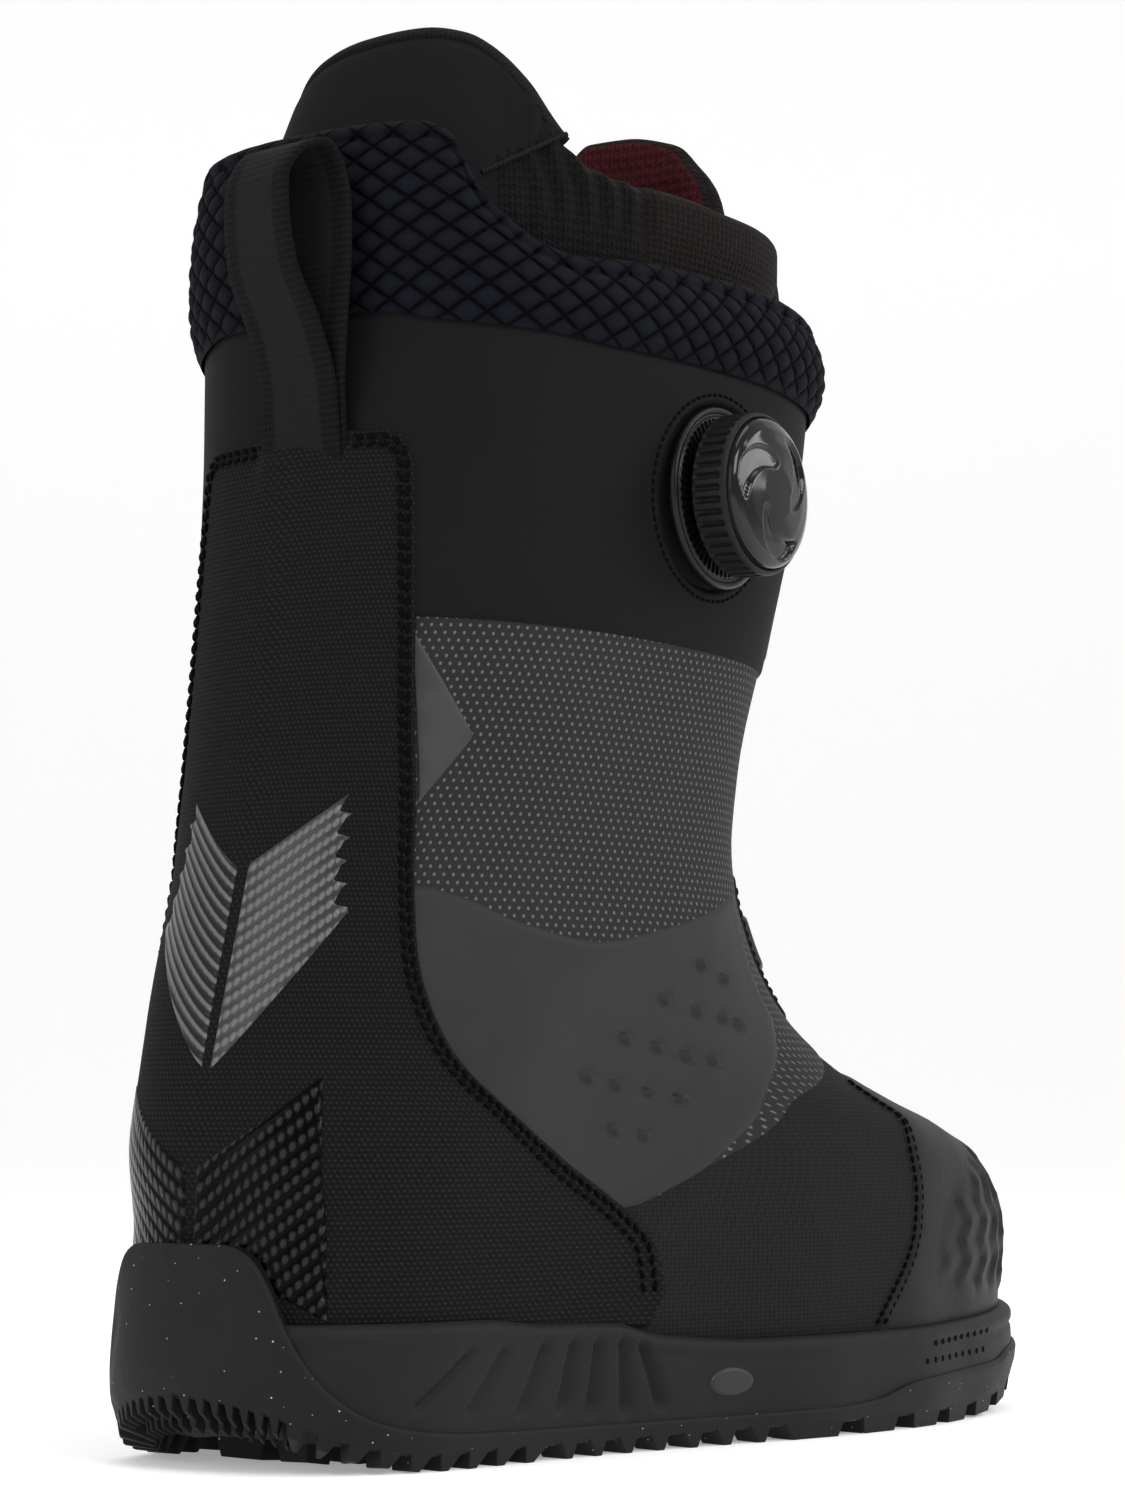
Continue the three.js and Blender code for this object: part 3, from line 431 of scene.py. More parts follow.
class Finish:
    """A node material built step by step from its height pattern and colours."""

    def __init__(self, name, color, rough, metal=0.0, coat=0.0, specular=0.35):
        self.mat = bpy.data.materials.new(name)
        self.mat.use_nodes = True
        self.tree = self.mat.node_tree
        self.bsdf = self.tree.nodes["Principled BSDF"]
        self.set("Base Color", (*color, 1))
        self.set("Roughness", rough)
        self.set("Metallic", metal)
        self.set("Coat Weight", coat)
        self.set("Coat Roughness", 0.06)
        self.set("Specular IOR Level", specular)
        self.color = color
        self.rough = rough

    def feed(self, socket, value):
        """Links a node's output to the socket, or sets it to a constant."""
        if hasattr(value, "is_output"):
            self.tree.links.new(value, socket)
        else:
            socket.default_value = value

    def set(self, name, value):
        self.feed(self.bsdf.inputs[name], value)

    def node(self, kind, **values):
        n = self.tree.nodes.new(kind)
        for key, value in values.items():
            if hasattr(n, key) and not key[0].isupper():
                setattr(n, key, value)
            else:
                self.feed(n.inputs[key.replace("_", " ")], value)
        return n

    def math(self, op, *values):
        n = self.node("ShaderNodeMath", operation=op)
        for socket, value in zip(n.inputs, values):
            self.feed(socket, value)
        return n.outputs[0]

    def uv(self):
        n = self.node("ShaderNodeUVMap", uv_map="UVMap")
        return self.node("ShaderNodeSeparateXYZ", Vector=n.outputs[0]).outputs[:2]

    def place(self):
        """Object coordinates in millimetres."""
        n = self.node("ShaderNodeVectorMath", operation="SCALE", Scale=1000)
        self.feed(n.inputs[0], self.node("ShaderNodeTexCoord").outputs["Object"])
        return n.outputs[0]

    def noise(self, scale, detail=2.0, where=None):
        return self.node("ShaderNodeTexNoise", Vector=where or self.place(), Scale=scale, Detail=detail).outputs[0]

    def wave(self, value, pitch, phase=0.0):
        """0 to 1 and back once each pitch."""
        t = self.math("MULTIPLY_ADD", value, 2 * math.pi / pitch, phase)
        return self.math("MULTIPLY_ADD", self.math("SINE", t), 0.5, 0.5)

    def band(self, value, low, high):
        """0 below low, 1 above high."""
        return self.node("ShaderNodeMapRange", interpolation_type="SMOOTHSTEP", Value=value,
                         From_Min=low, From_Max=high).outputs[0]

    def mix(self, factor, a, b):
        n = self.node("ShaderNodeMix", data_type="RGBA")
        self.feed(n.inputs["Factor"], factor)
        for socket, value in zip([i for i in n.inputs if i.type == "RGBA"], (a, b)):
            self.feed(socket, value if hasattr(value, "is_output") else (*value[:3], 1))
        return [o for o in n.outputs if o.type == "RGBA"][0]

    def bumps(self, *layers):
        """Relief in layers of (height, depth in millimetres)."""
        below = None
        for height, depth in layers:
            n = self.node("ShaderNodeBump", Height=height, Strength=1.0, Distance=depth * 0.001)
            if below is not None:
                self.feed(n.inputs["Normal"], below)
            below = n.outputs[0]
        self.set("Normal", below)

    def weathered(self, amount=0.25, scale=0.03):
        """Uneven roughness and shade, as on used or moulded surfaces."""
        n = self.noise(scale, 4.0)
        color = self.mix(self.band(n, 0.3, 0.7), scaled(self.color, 1 - amount), scaled(self.color, 1 + amount))
        self.set("Base Color", color)
        self.set("Roughness", self.math("MULTIPLY_ADD", n, 0.24, self.rough - 0.12))
        return color


def woven(name, color, pitch, depth, rough=0.9, thread=1.5, painted_crown_highlight=1.6):
    """Plain weave: threads over and under in two directions, coloured with painted shade where the threads dip and
    painted highlight on their crowns.
    """
    f = Finish(name, color, rough, specular=0.12)
    u, v = f.uv()
    a, b = f.wave(u, pitch), f.wave(v, pitch * thread)
    over = f.wave(f.math("ADD", u, v), 2 * pitch)
    height = f.math("ADD", f.math("MULTIPLY", a, over), f.math("MULTIPLY", b, f.math("SUBTRACT", 1.0, over)))
    # shade: painted shade in the hollows between threads, painted highlight on the thread crowns
    shade = f.mix(f.band(height, 0.15, 0.9), scaled(color, 0.55), scaled(color, painted_crown_highlight))
    f.set("Base Color", f.mix(0.6, f.weathered(0.2), shade))
    f.bumps((f.noise(1.6, 3.0), 0.05), (height, depth))
    return f.mat


def film(name, color, rough, grain=0.04, scale=0.9, specular=0.12):
    f = Finish(name, color, rough, specular=specular)
    f.weathered(0.12, 0.02)
    f.bumps((f.noise(0.06, 2.0), 0.25), (f.noise(scale, 4.0), grain))
    return f.mat


def dotted(name, color, dot, pitch, row, radius):
    """Film printed with staggered dots that stand up a little."""
    f = Finish(name, color, 0.75, specular=0.14)
    u, v = f.uv()
    r = f.math("DIVIDE", v, row)
    odd = f.math("MULTIPLY", f.math("MODULO", f.math("FLOOR", r), 2.0), pitch / 2)
    du = f.math("SUBTRACT", f.math("WRAP", f.math("ADD", u, odd), pitch, 0.0), pitch / 2)
    dv = f.math("SUBTRACT", f.math("MULTIPLY", f.math("FRACT", r), row), row / 2)
    d = f.math("SQRT", f.math("ADD", f.math("MULTIPLY", du, du), f.math("MULTIPLY", dv, dv)))
    spot = f.math("SUBTRACT", 1.0, f.band(d, radius * 0.7, radius * 1.15))
    f.set("Base Color", f.mix(spot, f.weathered(0.12, 0.02), dot))
    f.bumps((f.noise(1.1, 3.0), 0.05), (spot, 0.12))
    return f.mat


def rubber(name, color, rough, speck=None, grain=0.08):
    f = Finish(name, color, rough, specular=0.13)
    base = f.weathered(0.15, 0.03)
    if speck:
        cells = f.node("ShaderNodeTexVoronoi", Vector=f.place(), Scale=0.42, Randomness=1.0)
        keep = f.node("ShaderNodeSeparateColor", Color=cells.outputs["Color"])
        small = f.math("LESS_THAN", cells.outputs["Distance"], f.math("MULTIPLY_ADD", keep.outputs[1], 0.06, 0.03))
        fleck = f.math("MULTIPLY", small, f.math("GREATER_THAN", keep.outputs[0], 0.3))
        f.set("Base Color", f.mix(fleck, base, speck))
    f.bumps((f.noise(0.25, 3.0), 0.12), (f.noise(1.4, 3.0), grain))
    return f.mat


def twill(name, dark, light, rough, pitch=3.4, coat=0.1, ribs=0.35, slope=-0.62, specular=0.3, gap=0.12):
    """Glossy carbon-look twill: ribs along the patch's slanted top, broken into steps by upright threads. Light on the
    rib tops and dark in the gaps: on the silver patches the twill's own two colours, on the black patches painted
    highlight along the ribs.
    """
    f = Finish(name, light, rough, metal=0.2, coat=coat, specular=specular)
    u, v = f.uv()
    slant = f.math("MULTIPLY_ADD", f.math("ABSOLUTE", u), slope, v)
    rib = f.wave(slant, pitch)
    upright = f.wave(f.math("MULTIPLY_ADD", slant, 0.12, u), 1.9)
    height = f.math("MULTIPLY_ADD", f.math("MULTIPLY", rib, upright), 1 - ribs, f.math("MULTIPLY", rib, ribs))
    # Light rib tops over dark gaps: real two-colour twill on silver, painted highlight on the black patches.
    f.set("Base Color", f.mix(f.band(height, gap, gap + 0.5), dark, light))
    f.set("Roughness", f.math("MULTIPLY_ADD", f.noise(0.2, 3.0), 0.2, rough - 0.1))
    f.bumps((height, 0.35))
    return f.mat


def pebbled(name, dark, light, across, up, depth):
    """Fine woven webbing: staggered rows of small thread knots, with painted highlight on the knots and painted shade
    between them.
    """
    f = Finish(name, dark, 0.85, specular=0.1)
    u, v = f.uv()
    knot = f.math("MULTIPLY", f.wave(f.math("ADD", u, f.math("MULTIPLY", v, across / (2 * up))), across),
                  f.wave(v, up))
    # Colour by knot height: painted highlight on the knots, painted shade between them.
    f.set("Base Color", f.mix(f.band(knot, 0.25, 1.0), dark, light))
    f.bumps((f.noise(1.8, 3.0), 0.04), (knot, depth))
    return f.mat


def quilted(name, dark, light):
    """Knit sewn down in diamonds: painted shade along the sewn creases, and painted sheen where each cell catches the
    light in its middle.
    """
    f = Finish(name, light, 0.8, specular=0.06)
    u, v = f.uv()
    ways = [f.math("MULTIPLY_ADD", v, sign / QUILT_H, f.math("DIVIDE", u, QUILT_W)) for sign in (1, -1)]
    lines = [f.math("ABSOLUTE", f.math("SINE", f.math("MULTIPLY", q, math.pi))) for q in ways]
    cell = f.math("MULTIPLY", *lines)
    near = f.math("MINIMUM", *lines)
    # Painted sheen in each cell's middle, painted shade towards and along the sewn creases.
    painted_relief_shading = f.mix(f.band(cell, 0.1, 1.0), tuple((p + q) / 2 for p, q in zip(dark, light)), light)
    f.set("Base Color", f.mix(f.band(near, 0.06, 0.3), dark, painted_relief_shading))
    f.bumps((f.noise(1.6, 3.0), 0.06), (f.band(near, 0.0, 0.35), 0.5))
    return f.mat


def moulded(name, color, rough, metal=0.0, coat=0.0, grain=0.02, specular=0.4):
    f = Finish(name, color, rough, metal=metal, coat=coat, specular=specular)
    n = f.noise(0.15, 4.0)
    f.set("Roughness", f.math("MULTIPLY_ADD", n, 0.16, max(0.02, rough - 0.08)))
    f.set("Base Color", f.mix(f.band(n, 0.35, 0.65), scaled(color, 0.85), scaled(color, 1.15)))
    f.bumps((f.noise(2.2, 3.0), grain))
    return f.mat


def ribbed(name, dark, light, pitch, width):
    """Webbing: ribs across with painted shade in their troughs and painted highlight on their crests, a lighter middle
    and dense edges.
    """
    f = Finish(name, dark, 0.85, specular=0.1)
    u, v = f.uv()
    rib, fine = f.wave(v, pitch), f.wave(u, 1.1)
    middle = f.math("SUBTRACT", 1.0, f.band(f.math("ABSOLUTE", u), width * 0.26, width * 0.32))
    height = f.math("MULTIPLY_ADD", rib, 0.6, f.math("MULTIPLY", fine, 0.4))
    # Painted shade in the rib troughs, painted highlight on the rib crests.
    painted_relief_shading = f.mix(f.band(height, 0.2, 0.9), scaled(dark, 0.6), scaled(dark, 1.5))
    f.set("Base Color", f.mix(f.math("MULTIPLY", middle, 0.6), painted_relief_shading, light))
    f.bumps((height, 0.22))
    return f.mat


M = {
    "vamp": woven("vamp_weave", (0.0105, 0.0105, 0.011), 0.7, 0.06, painted_crown_highlight=1.5),
    "stay": pebbled("backstay_weave", (0.0042, 0.0042, 0.0044), (0.0165, 0.0165, 0.017), 1.3, 1.15, 0.16),
    "tongue": woven("tongue_weave", (0.012, 0.012, 0.013), 1.3, 0.2),
    "cuff": film("cuff_film", (0.0062, 0.006, 0.0065), 0.7, specular=0.07),
    "ankle": film("ankle_film", (0.0225, 0.0222, 0.0235), 0.55),
    "toe": rubber("toe_rubber", (0.0068, 0.0068, 0.0072), 0.55),
    "dots": dotted("dotted_film", (0.0165, 0.0163, 0.0172), (0.1, 0.1, 0.104), 2.7, 1.8, 0.46),
    "thread": moulded("black_thread", (0.0018, 0.0018, 0.0018), 0.85, grain=0.08, specular=0.06),
    "silver": twill("silver_twill", (0.028, 0.028, 0.029), (0.115, 0.114, 0.116), 0.36, 3.4),
    # A darker copy of the silver twill for the medial upper patch: painted shade on the side turned away from the
    # lights.
    "silver_painted_shade": twill("silver_twill_painted_shade", (0.001, 0.001, 0.001), (0.11, 0.109, 0.111), 0.36, 3.1, ribs=0.9,
                         slope=-0.85, gap=0.42),
    # Black twill: its light rib colour is painted highlight along the rib tops on a black patch.
    "black": twill("black_twill", (0.0004, 0.0004, 0.0004), (0.021, 0.021, 0.022), 0.24, 4.0, ribs=0.4, slope=-0.85,
                   coat=0.0, specular=0.08, gap=0.3),
    "quilt": quilted("quilt_knit", (0.0004, 0.0005, 0.0007), (0.0055, 0.0062, 0.0098)),
    "midsole": rubber("midsole_foam", (0.0108, 0.0108, 0.0115), 0.6, grain=0.05),
    "outsole": rubber("outsole_rubber", (0.0095, 0.0095, 0.01), 0.58, speck=(0.5, 0.5, 0.5)),
    "webbing": ribbed("loop_webbing", (0.0042, 0.0042, 0.0046), (0.012, 0.012, 0.0125), 1.6, 25),
    "lobe": film("liner_smooth", (0.0062, 0.006, 0.0064), 0.82, 0.1, 1.8, specular=0.08),
    "gusset": woven("liner_gusset", (0.0032, 0.0024, 0.0025), 1.6, 0.35),
    "knit": woven("liner_knit", (0.0055, 0.0032, 0.0032), 2.0, 0.35, thread=0.8),
    "binding": woven("liner_binding", (0.009, 0.008, 0.008), 0.8, 0.12),
    "lining": woven("liner_lining", (0.03, 0.003, 0.0045), 1.8, 0.3),
    "footbed": woven("footbed_felt", (0.03, 0.031, 0.034), 1.2, 0.12),
    "plastic": moulded("dial_plastic", (0.008, 0.008, 0.0085), 0.42),
    "gloss": moulded("dial_gloss", (0.001, 0.001, 0.0012), 0.09, coat=0.1, grain=0.0, specular=0.3),
    "ring": moulded("dial_ring_plastic", (0.003, 0.003, 0.0032), 0.3, specular=0.22),
    "nylon": moulded("dial_nylon", (0.6, 0.6, 0.56), 0.5),
    "steel": moulded("cable_steel", (0.5, 0.5, 0.52), 0.3, metal=1.0),
    "label": moulded("side_label", (0.02, 0.02, 0.021), 0.5),
    "board": moulded("lasting_fibre", (0.25, 0.2, 0.13), 0.9, grain=0.1),
    "grip": rubber("grip_rubber", (0.009, 0.009, 0.0095), 0.5),
}

# ---------------------------------------------------------------- lines of the upper, as [s, z]

TOE_SEAM = side([(-50, 26.5), (-63, 42.5), (-67, 57.5), (-65, 70.5), (-62, 82), (-53, 89)])
FLEX_LOW = side([(110, 131.5), (100.6, 129.5), (85.6, 124), (59, 120), (36, 123.5), (12, 129), (-6.5, 135)])
STAY_EDGE = side([(34, 29.5), (29.5, 37.5), (33, 48.5), (45, 58), (67.5, 70), (90, 82.5), (106, 96.5),
                  (111, 114.5), (109.9, 132.5), (107.7, 174)]) + [(0.143, 225.5)]
ANKLE_FRONT = side([(38.5, 58), (19.3, 65), (5.5, 73), (-6.4, 85.5), (-13, 93), (-18.7, 103)])
WEDGE_LOW = side([(45, 58), (38.5, 58), (19.3, 65), (-5, 74.5), (-16.6, 83), (-39, 90.5)])
CUFF_LOW = [(0.0, 194), (0.35, 192.3), (0.7, 190), (THROAT, 189)]
COLLAR_LOW = [(0, 265), (0.085, 265.5), (0.17, 263), (0.3, 261), (0.365, 259.5), (0.535, 258.5),
              (0.7, 256.5), (THROAT, 254)]
COLLAR_TOP = [(0, 311), (0.13, 311), (0.165, 308.5), (0.203, 295), (0.238, 288), (0.27, 283.5),
              (0.323, 280.5), (0.405, 281.5), (0.55, 282), (0.7, 280.5), (0.76, 279), (THROAT, 277)]
DIAL = np.array([-60.6, 26.0, 228.0])
DIAL_TURN = 0.105


def both(line):
    return [(-s, z) for s, z in line[1:][::-1]] + list(line)


# ---------------------------------------------------------------- the upper

# The fine-woven layer under everything, from heel round the toe and back.
base_outline = joined(
    [(0.0, 24), (1.0, 24), (2.0, 24)], [(2.0, 24), (2.0, 262)], [(2.0, 262), (2 - THROAT, 250)],
    [(2 - THROAT, 250), (2 - THROAT, 104)],
    [(2 - THROAT, 104), (1.07, 102.5), (1.0, 102), (0.93, 102.5), (THROAT, 104)],
    [(THROAT, 104), (THROAT, 250)], [(THROAT, 250), (0.0, 262)], [(0.0, 262), (0.0, 24)])
carry(panel("upper_base", base_outline, -2.2, 0.9, "vamp", spacing=4.0), "quarter_lateral", "quarter_medial", "vamp")


def toe_relief(s, z, d):
    """Zigzag scales moulded into the tip of the toe."""
    t = np.abs(np.where(s < 0, s + 2, s) - 1)
    run = t * GIRTH * 0.8 + 2.6 * np.abs((z / 5.2) % 2 - 1)
    saw = (run / 6.4) % 1.0
    scale = np.where(saw < 0.85, saw / 0.85, (1 - saw) / 0.15)
    reach = np.interp(z, [28, 40, 57, 75], [0.27, 0.36, 0.33, 0.2])
    zone = (1 - ease(reach - 0.035, reach, t)) * ease(31, 35, z) * (1 - ease(68, 76, z))
    return 1.25 * scale * zone * ease(1, 4, d)


seam_foot, seam_head = TOE_SEAM[0], TOE_SEAM[-1]
toe_top = [seam_head, (0.87, 92.0), (1.0, 93.5), (1.13, 92.0), (2 - seam_head[0], seam_head[1])]
toe_outline = joined([(seam_foot[0], 24), (1.0, 24), (2 - seam_foot[0], 24)],
                     [(2 - s, z) for s, z in TOE_SEAM], toe_top[::-1], TOE_SEAM[::-1])
lay("toe_cap_rubber", "toe_cap", toe_outline, -1.5, 0.9, "toe", spacing=1.3, relief=toe_relief)
for tag, mirror in SIDES:
    for k, shift in enumerate((-0.0035, 0.0045)):
        seam(f"toe_seam_{k}_{tag}", [(q + shift, z) for q, z in TOE_SEAM], -0.75 - 0.3 * k,
             mirror=mirror, pitch=2.5, length=2.1, radius=0.5)

BUMPS = side([(60, 88.5), (47, 97.5), (33, 107), (18, 115.5), (49, 86.5), (35, 95.5), (20, 104.5), (7, 112.5),
              (37, 85), (24, 93.5), (9, 103), (26, 83.5), (14, 92.5), (2, 101.5), (49, 76), (38, 74.5)])
BUMP_CENTRES = np.array([upper(q, z) for q, z in BUMPS])
BUMP_RINGS = [(q + r * math.cos(a) / 185, z + r * math.sin(a)) for q, z in BUMPS
              for r in (0.05, 0.7, 1.3, 1.9, 2.6) for a in np.arange(0, 2 * math.pi, math.pi / 5)]


def bump_relief(s, z, d):
    """Round bumps with a sunk ring each, and a ridge along the film's edge."""
    r = np.min(np.linalg.norm(upper(np.abs(s), z)[:, None] - BUMP_CENTRES[None], axis=2), axis=1)
    return 1.5 * np.clip(1 - (r / 1.75) ** 2, 0, 1) - 0.4 * hump(r - 2.1, 0.5) + 0.3 * hump(d - 2.2, 1.3)


FRONT_EDGE = THROAT - 0.004
flex_outline = joined(
    WEDGE_LOW + [(THROAT - 0.012, 100)],
    [(THROAT - 0.012, 100), (FRONT_EDGE, 112), (FRONT_EDGE, 150), (FRONT_EDGE, 186)],
    [(FRONT_EDGE, 186), (FRONT_EDGE, 198)], [(FRONT_EDGE, 198), (0.04, 202)],
    [(0.04, 202), (0.04, 120)], [(0.04, 120), (0.3, 62), WEDGE_LOW[0]])
ankle_outline = joined(
    [(0.12, 131)] + FLEX_LOW, [FLEX_LOW[-1], ANKLE_FRONT[-1]], ANKLE_FRONT[::-1],
    [ANKLE_FRONT[0], (0.36, 56), (0.2, 90), (0.12, 110)], [(0.12, 110), (0.12, 131)])
for tag, mirror in SIDES:
    lay(f"flex_layer_{tag}", f"flex_panel_{tag}", flex_outline, -1.6, 0.9, "dots", spacing=3.2, mirror=mirror)
    lay(f"ankle_film_{tag}", f"ankle_panel_{tag}", ankle_outline, -0.9, 0.8, "ankle", spacing=2.4, edge=1.8,
        relief=bump_relief, extra=BUMP_RINGS, mirror=mirror)


def cuff_relief(s, z, d):
    """A round sunk seat for the dial on the lateral side."""
    p = upper(s, z)
    r = np.where(s > 0, np.hypot(p[:, 1] - DIAL[1], p[:, 2] - DIAL[2]), 99)
    return -1.9 * (1 - ease(21.9, 22.9, r)) + 0.5 * hump(r - 23.6, 0.7)


def around_dial(r, turns):
    return side([(DIAL[1] + r * np.cos(a), DIAL[2] + r * np.sin(a)) for a in turns])


cuff_outline = joined(both(CUFF_LOW), [(THROAT, 189), (THROAT, 258)], both([(s, z + 4) for s, z in COLLAR_LOW])[::-1],
                      [(-THROAT, 258), (-THROAT, 189)])
seat_points = [p for r in (19, 20.5, 21.6, 22.2, 22.8, 23.4, 24.2, 25, 26.2, 27.6)
               for p in around_dial(r, np.linspace(0, 2 * np.pi, int(6 * r / 1.6), endpoint=False))]
lay("cuff_cover", "cuff_shell", cuff_outline, -0.8, 0.9, "cuff", spacing=3.5, relief=cuff_relief, extra=seat_points)
seam("dial_seat_stitching", around_dial(24.9, np.linspace(0, 2 * np.pi, 73)), 0.15, pitch=2.2, length=1.6, radius=0.42)

# The backstay: one woven piece from the collar seam to the sole, flared over the heel sides.
stay_top = both([(0.0, 238), (0.1, 238), (0.122, 236.5), (0.139, 231.5), (0.143, 225.5)])[::-1]
stay_outline = joined([(-STAY_EDGE[0][0], 29.5), (0.0, 28), (STAY_EDGE[0][0], 29.5)], STAY_EDGE, stay_top,
                      [(-s, z) for s, z in STAY_EDGE[::-1]])


def stay_relief(s, z, d):
    """The pull loop's ends swell the top edge; the rim is pressed down under its two seams."""
    swell = 1.6 * (1 - ease(11, 15, np.abs(upper(s, z)[:, 0] + 5))) * ease(218, 230, z)
    return swell - 0.3 * hump(d - STAY_SEAMS[0], 0.9) - 0.3 * hump(d - STAY_SEAMS[1], 0.9)


STAY_SEAMS = (1.8, 3.8)  # millimetres in from the edge
lay("backstay_cover", "backstay", stay_outline, -0.2, 1.1, "stay", spacing=2.6, edge=1.2, relief=stay_relief)
for tag, mirror in SIDES:
    for k, inset in enumerate(STAY_SEAMS):
        seam(f"backstay_stitch_{k}_{tag}", offset_line(STAY_EDGE[1:] + stay_top[1:5], inset), 0.95, mirror=mirror,
             pitch=3.2, length=2.6, radius=0.6, skew=0.3 if k else -0.3)

def chevron(place, corners_sz, teeth, finish):
    """A twill patch with corners top outer, top inner, bottom inner, bottom outer, its outer edge saw-toothed."""
    to, ti, bi, bo = [np.array(c, float) for c in corners_sz]
    outer = [bo]
    sign = np.sign(to[0])
    for i in range(teeth):
        p, q = (bo + (to - bo) * share for share in (0.04 + 0.96 * i / teeth, 0.04 + 0.96 * i / teeth + 0.8 / teeth))
        outer += [p, p - np.array([sign * 0.017, -0.8]), q - np.array([sign * 0.006, 0.0])]
    ring = np.vstack([joined((to, ti), (ti, bi), (bi, bo), step=1.6), outer])
    level, tag = place.split("_")
    name = f"chevron_{'silver' if level == 'upper' else 'black'}_{tag}"
    lay(name, f"chevron_{place}", ring, 0.85, 0.45, finish, spacing=1.8, edge=0.6, skirt=1.0)


chevron("upper_lateral", [(0.121, 153), (0.0085, 136.6), (0.0085, 89.5), (0.142, 125)], 5, "silver")
# The medial upper patch takes the darker copy of the silver twill, which is painted shade.
chevron("upper_medial", [(-0.097, 153), (-0.0015, 136), (0.0005, 90), (-0.13, 123)], 5, "silver_painted_shade")
chevron("lower_lateral", [(0.128, 88), (0.0075, 67.6), (0.0025, 50.5), (0.134, 33.5)], 0, "black")
chevron("lower_medial", [(-0.125, 87), (-0.001, 67.6), (-0.004, 50.5), (-0.131, 34)], 0, "black")

label_outline = corners(*side([(107.6, 192), (97, 166), (108.4, 150)]), step=1.8)
for tag, mirror in SIDES:
    lay(f"label_{tag}", f"side_label_{tag}", label_outline, -0.9, 0.6, "label", spacing=2.0, edge=0.8, mirror=mirror)

# ---------------------------------------------------------------- collar


def collar_piece():
    """Padded quilted collar, rolled over at the top, with diamonds sewn across it."""
    cols, rows_out, rows_roll, rows_in = 560, 64, 12, 14
    s = np.linspace(-THROAT, THROAT, cols)
    low, high = (np.interp(s, *smooth_line(both(line), 1.0).T) for line in (COLLAR_LOW, COLLAR_TOP))
    run = along(outline(s, 275.0))
    u = run - run[cols // 2]
    ends = ease(0, 0.03, THROAT - np.abs(s))
    P, UV = [], []
    for i in range(rows_out + rows_roll + rows_in):
        if i < rows_out:
            v = i / (rows_out - 1)
            z = low + (high - low - 3.5) * v
            out = (5.0 * np.sin(np.pi * (0.08 + 0.8 * v)) ** 0.8 - 0.6) * (0.4 + 0.6 * ends)
            w = z - 255
        elif i < rows_out + rows_roll:
            q = (i - rows_out + 1) / rows_roll * np.pi
            z = high - 3.5 + 3.5 * np.sin(q)
            out = -2.7 + 4.3 * np.cos(q) + 0 * s
            w = high - 258.5 + q * 3
        else:
            v = (i - rows_out - rows_roll + 1) / rows_in
            z = high - 3.5 - (high - low - 6) * v
            out = -7.0 - 1.2 * np.sin(np.pi * v) + 0 * s
            w = high - 240 + v * 40
        if i < rows_out + 5:
            cell = np.abs(np.sin(np.pi * (u / QUILT_W + w / QUILT_H)) * np.sin(np.pi * (u / QUILT_W - w / QUILT_H)))
            fade = ease(0.5, 3, z - low) * (1 - 0.8 * ease(high - 4.5, high - 2.5, z))
            out = out - 1.3 * (1 - cell ** 0.35) * fade - 0.7 * hump(high - z - 4.2, 0.7)
        P.append(surface(s, z, out))
        UV.append(np.stack([u, w + 0 * s], -1))
    return grid("collar_quilt", P, UV, "quilt")


carry(collar_piece(), "collar")

# ---------------------------------------------------------------- pull loop


LOOP_KNOTS = np.array([  # x, y, z, turn about the upright in degrees
    (-5, 112.8, 231, 0), (-5.5, 114.6, 240, 0), (-7, 117.5, 251, 3), (-6, 120.8, 262.5, 6), (-4.5, 126.5, 276, 9),
    (-4, 128, 287, 11), (-4.5, 128.5, 295, 12), (-7, 126.5, 301.5, 9), (-9, 122.2, 304, 3), (-10, 118.6, 299.5, 0),
    (-11.5, 117.6, 291, 0), (-12, 117.8, 280.5, 0), (-11, 117.6, 267, 0), (-9, 116.4, 253.5, 0),
    (-6.5, 113.4, 242, 0), (-5.5, 111.4, 231, 0)], float)
WEB_HALF, WEB_THICK = 12.5, 1.7
WEB_EDGE = [(-1, 0.0), (-0.97, 0.42), (-0.8, 0.5), (-0.4, 0.5), (0, 0.5), (0.4, 0.5), (0.8, 0.5), (0.97, 0.42)]


def webbing_loop():
    """The heel loop: out of the top seam, up behind the collar, over and down, twisted a little."""
    d = along(LOOP_KNOTS[:, :3])
    t = np.linspace(0, d[-1], 170)
    *path, turn = through(t, d, LOOP_KNOTS).T
    path = np.stack(path, -1)
    across = np.stack([np.cos(np.radians(turn)), -np.sin(np.radians(turn)), 0 * t], -1)
    out = unit(np.cross(across, frames(path)))
    profile = WEB_EDGE + [(-a, -h) for a, h in WEB_EDGE]
    P = np.stack([path + across * a * WEB_HALF + out * h * WEB_THICK for a, h in profile], 1)
    UV = np.stack([np.stack([0 * t + a * WEB_HALF, t], -1) for a, h in profile], 1)
    return grid("pull_loop_webbing", P, UV, "webbing", closed=True)


loop = webbing_loop()
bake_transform(loop)
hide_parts("pull_loop")

# ---------------------------------------------------------------- sole


FAN = [(95.7, 29, 115.3, 14.5), (85, 29, 100, 13), (72.2, 29.5, 82.6, 12), (63, 29.5, 68.9, 12),
       (54.7, 29.5, 58.7, 10.5), (46.7, 29.5, 46.3, 10), (41.3, 28.5, 34, 10.5)]  # grooves: top y, z, bottom y, z
SOLE_Z = 28.0  # the height whose outline the sole's wall follows


def fan_grooves(y, z):
    """Grooves that are steep on their toe side and run out softly on the other."""
    fan = np.zeros(len(y))
    for yt, zt, yb, zb in FAN:
        t = np.clip((z - zb) / (zt - zb), 0, 1)
        reach = (y - yb - (yt - yb) * t) / (0.75 - 0.2 * t)
        inside_z = ease(zb - 1.5, zb + 1, z) * (1 - ease(zt - 4.5, zt - 1.5, z))
        fan = np.maximum(fan, hump(reach, np.where(reach > 0, 1, 4.0)) * inside_z)
    return fan


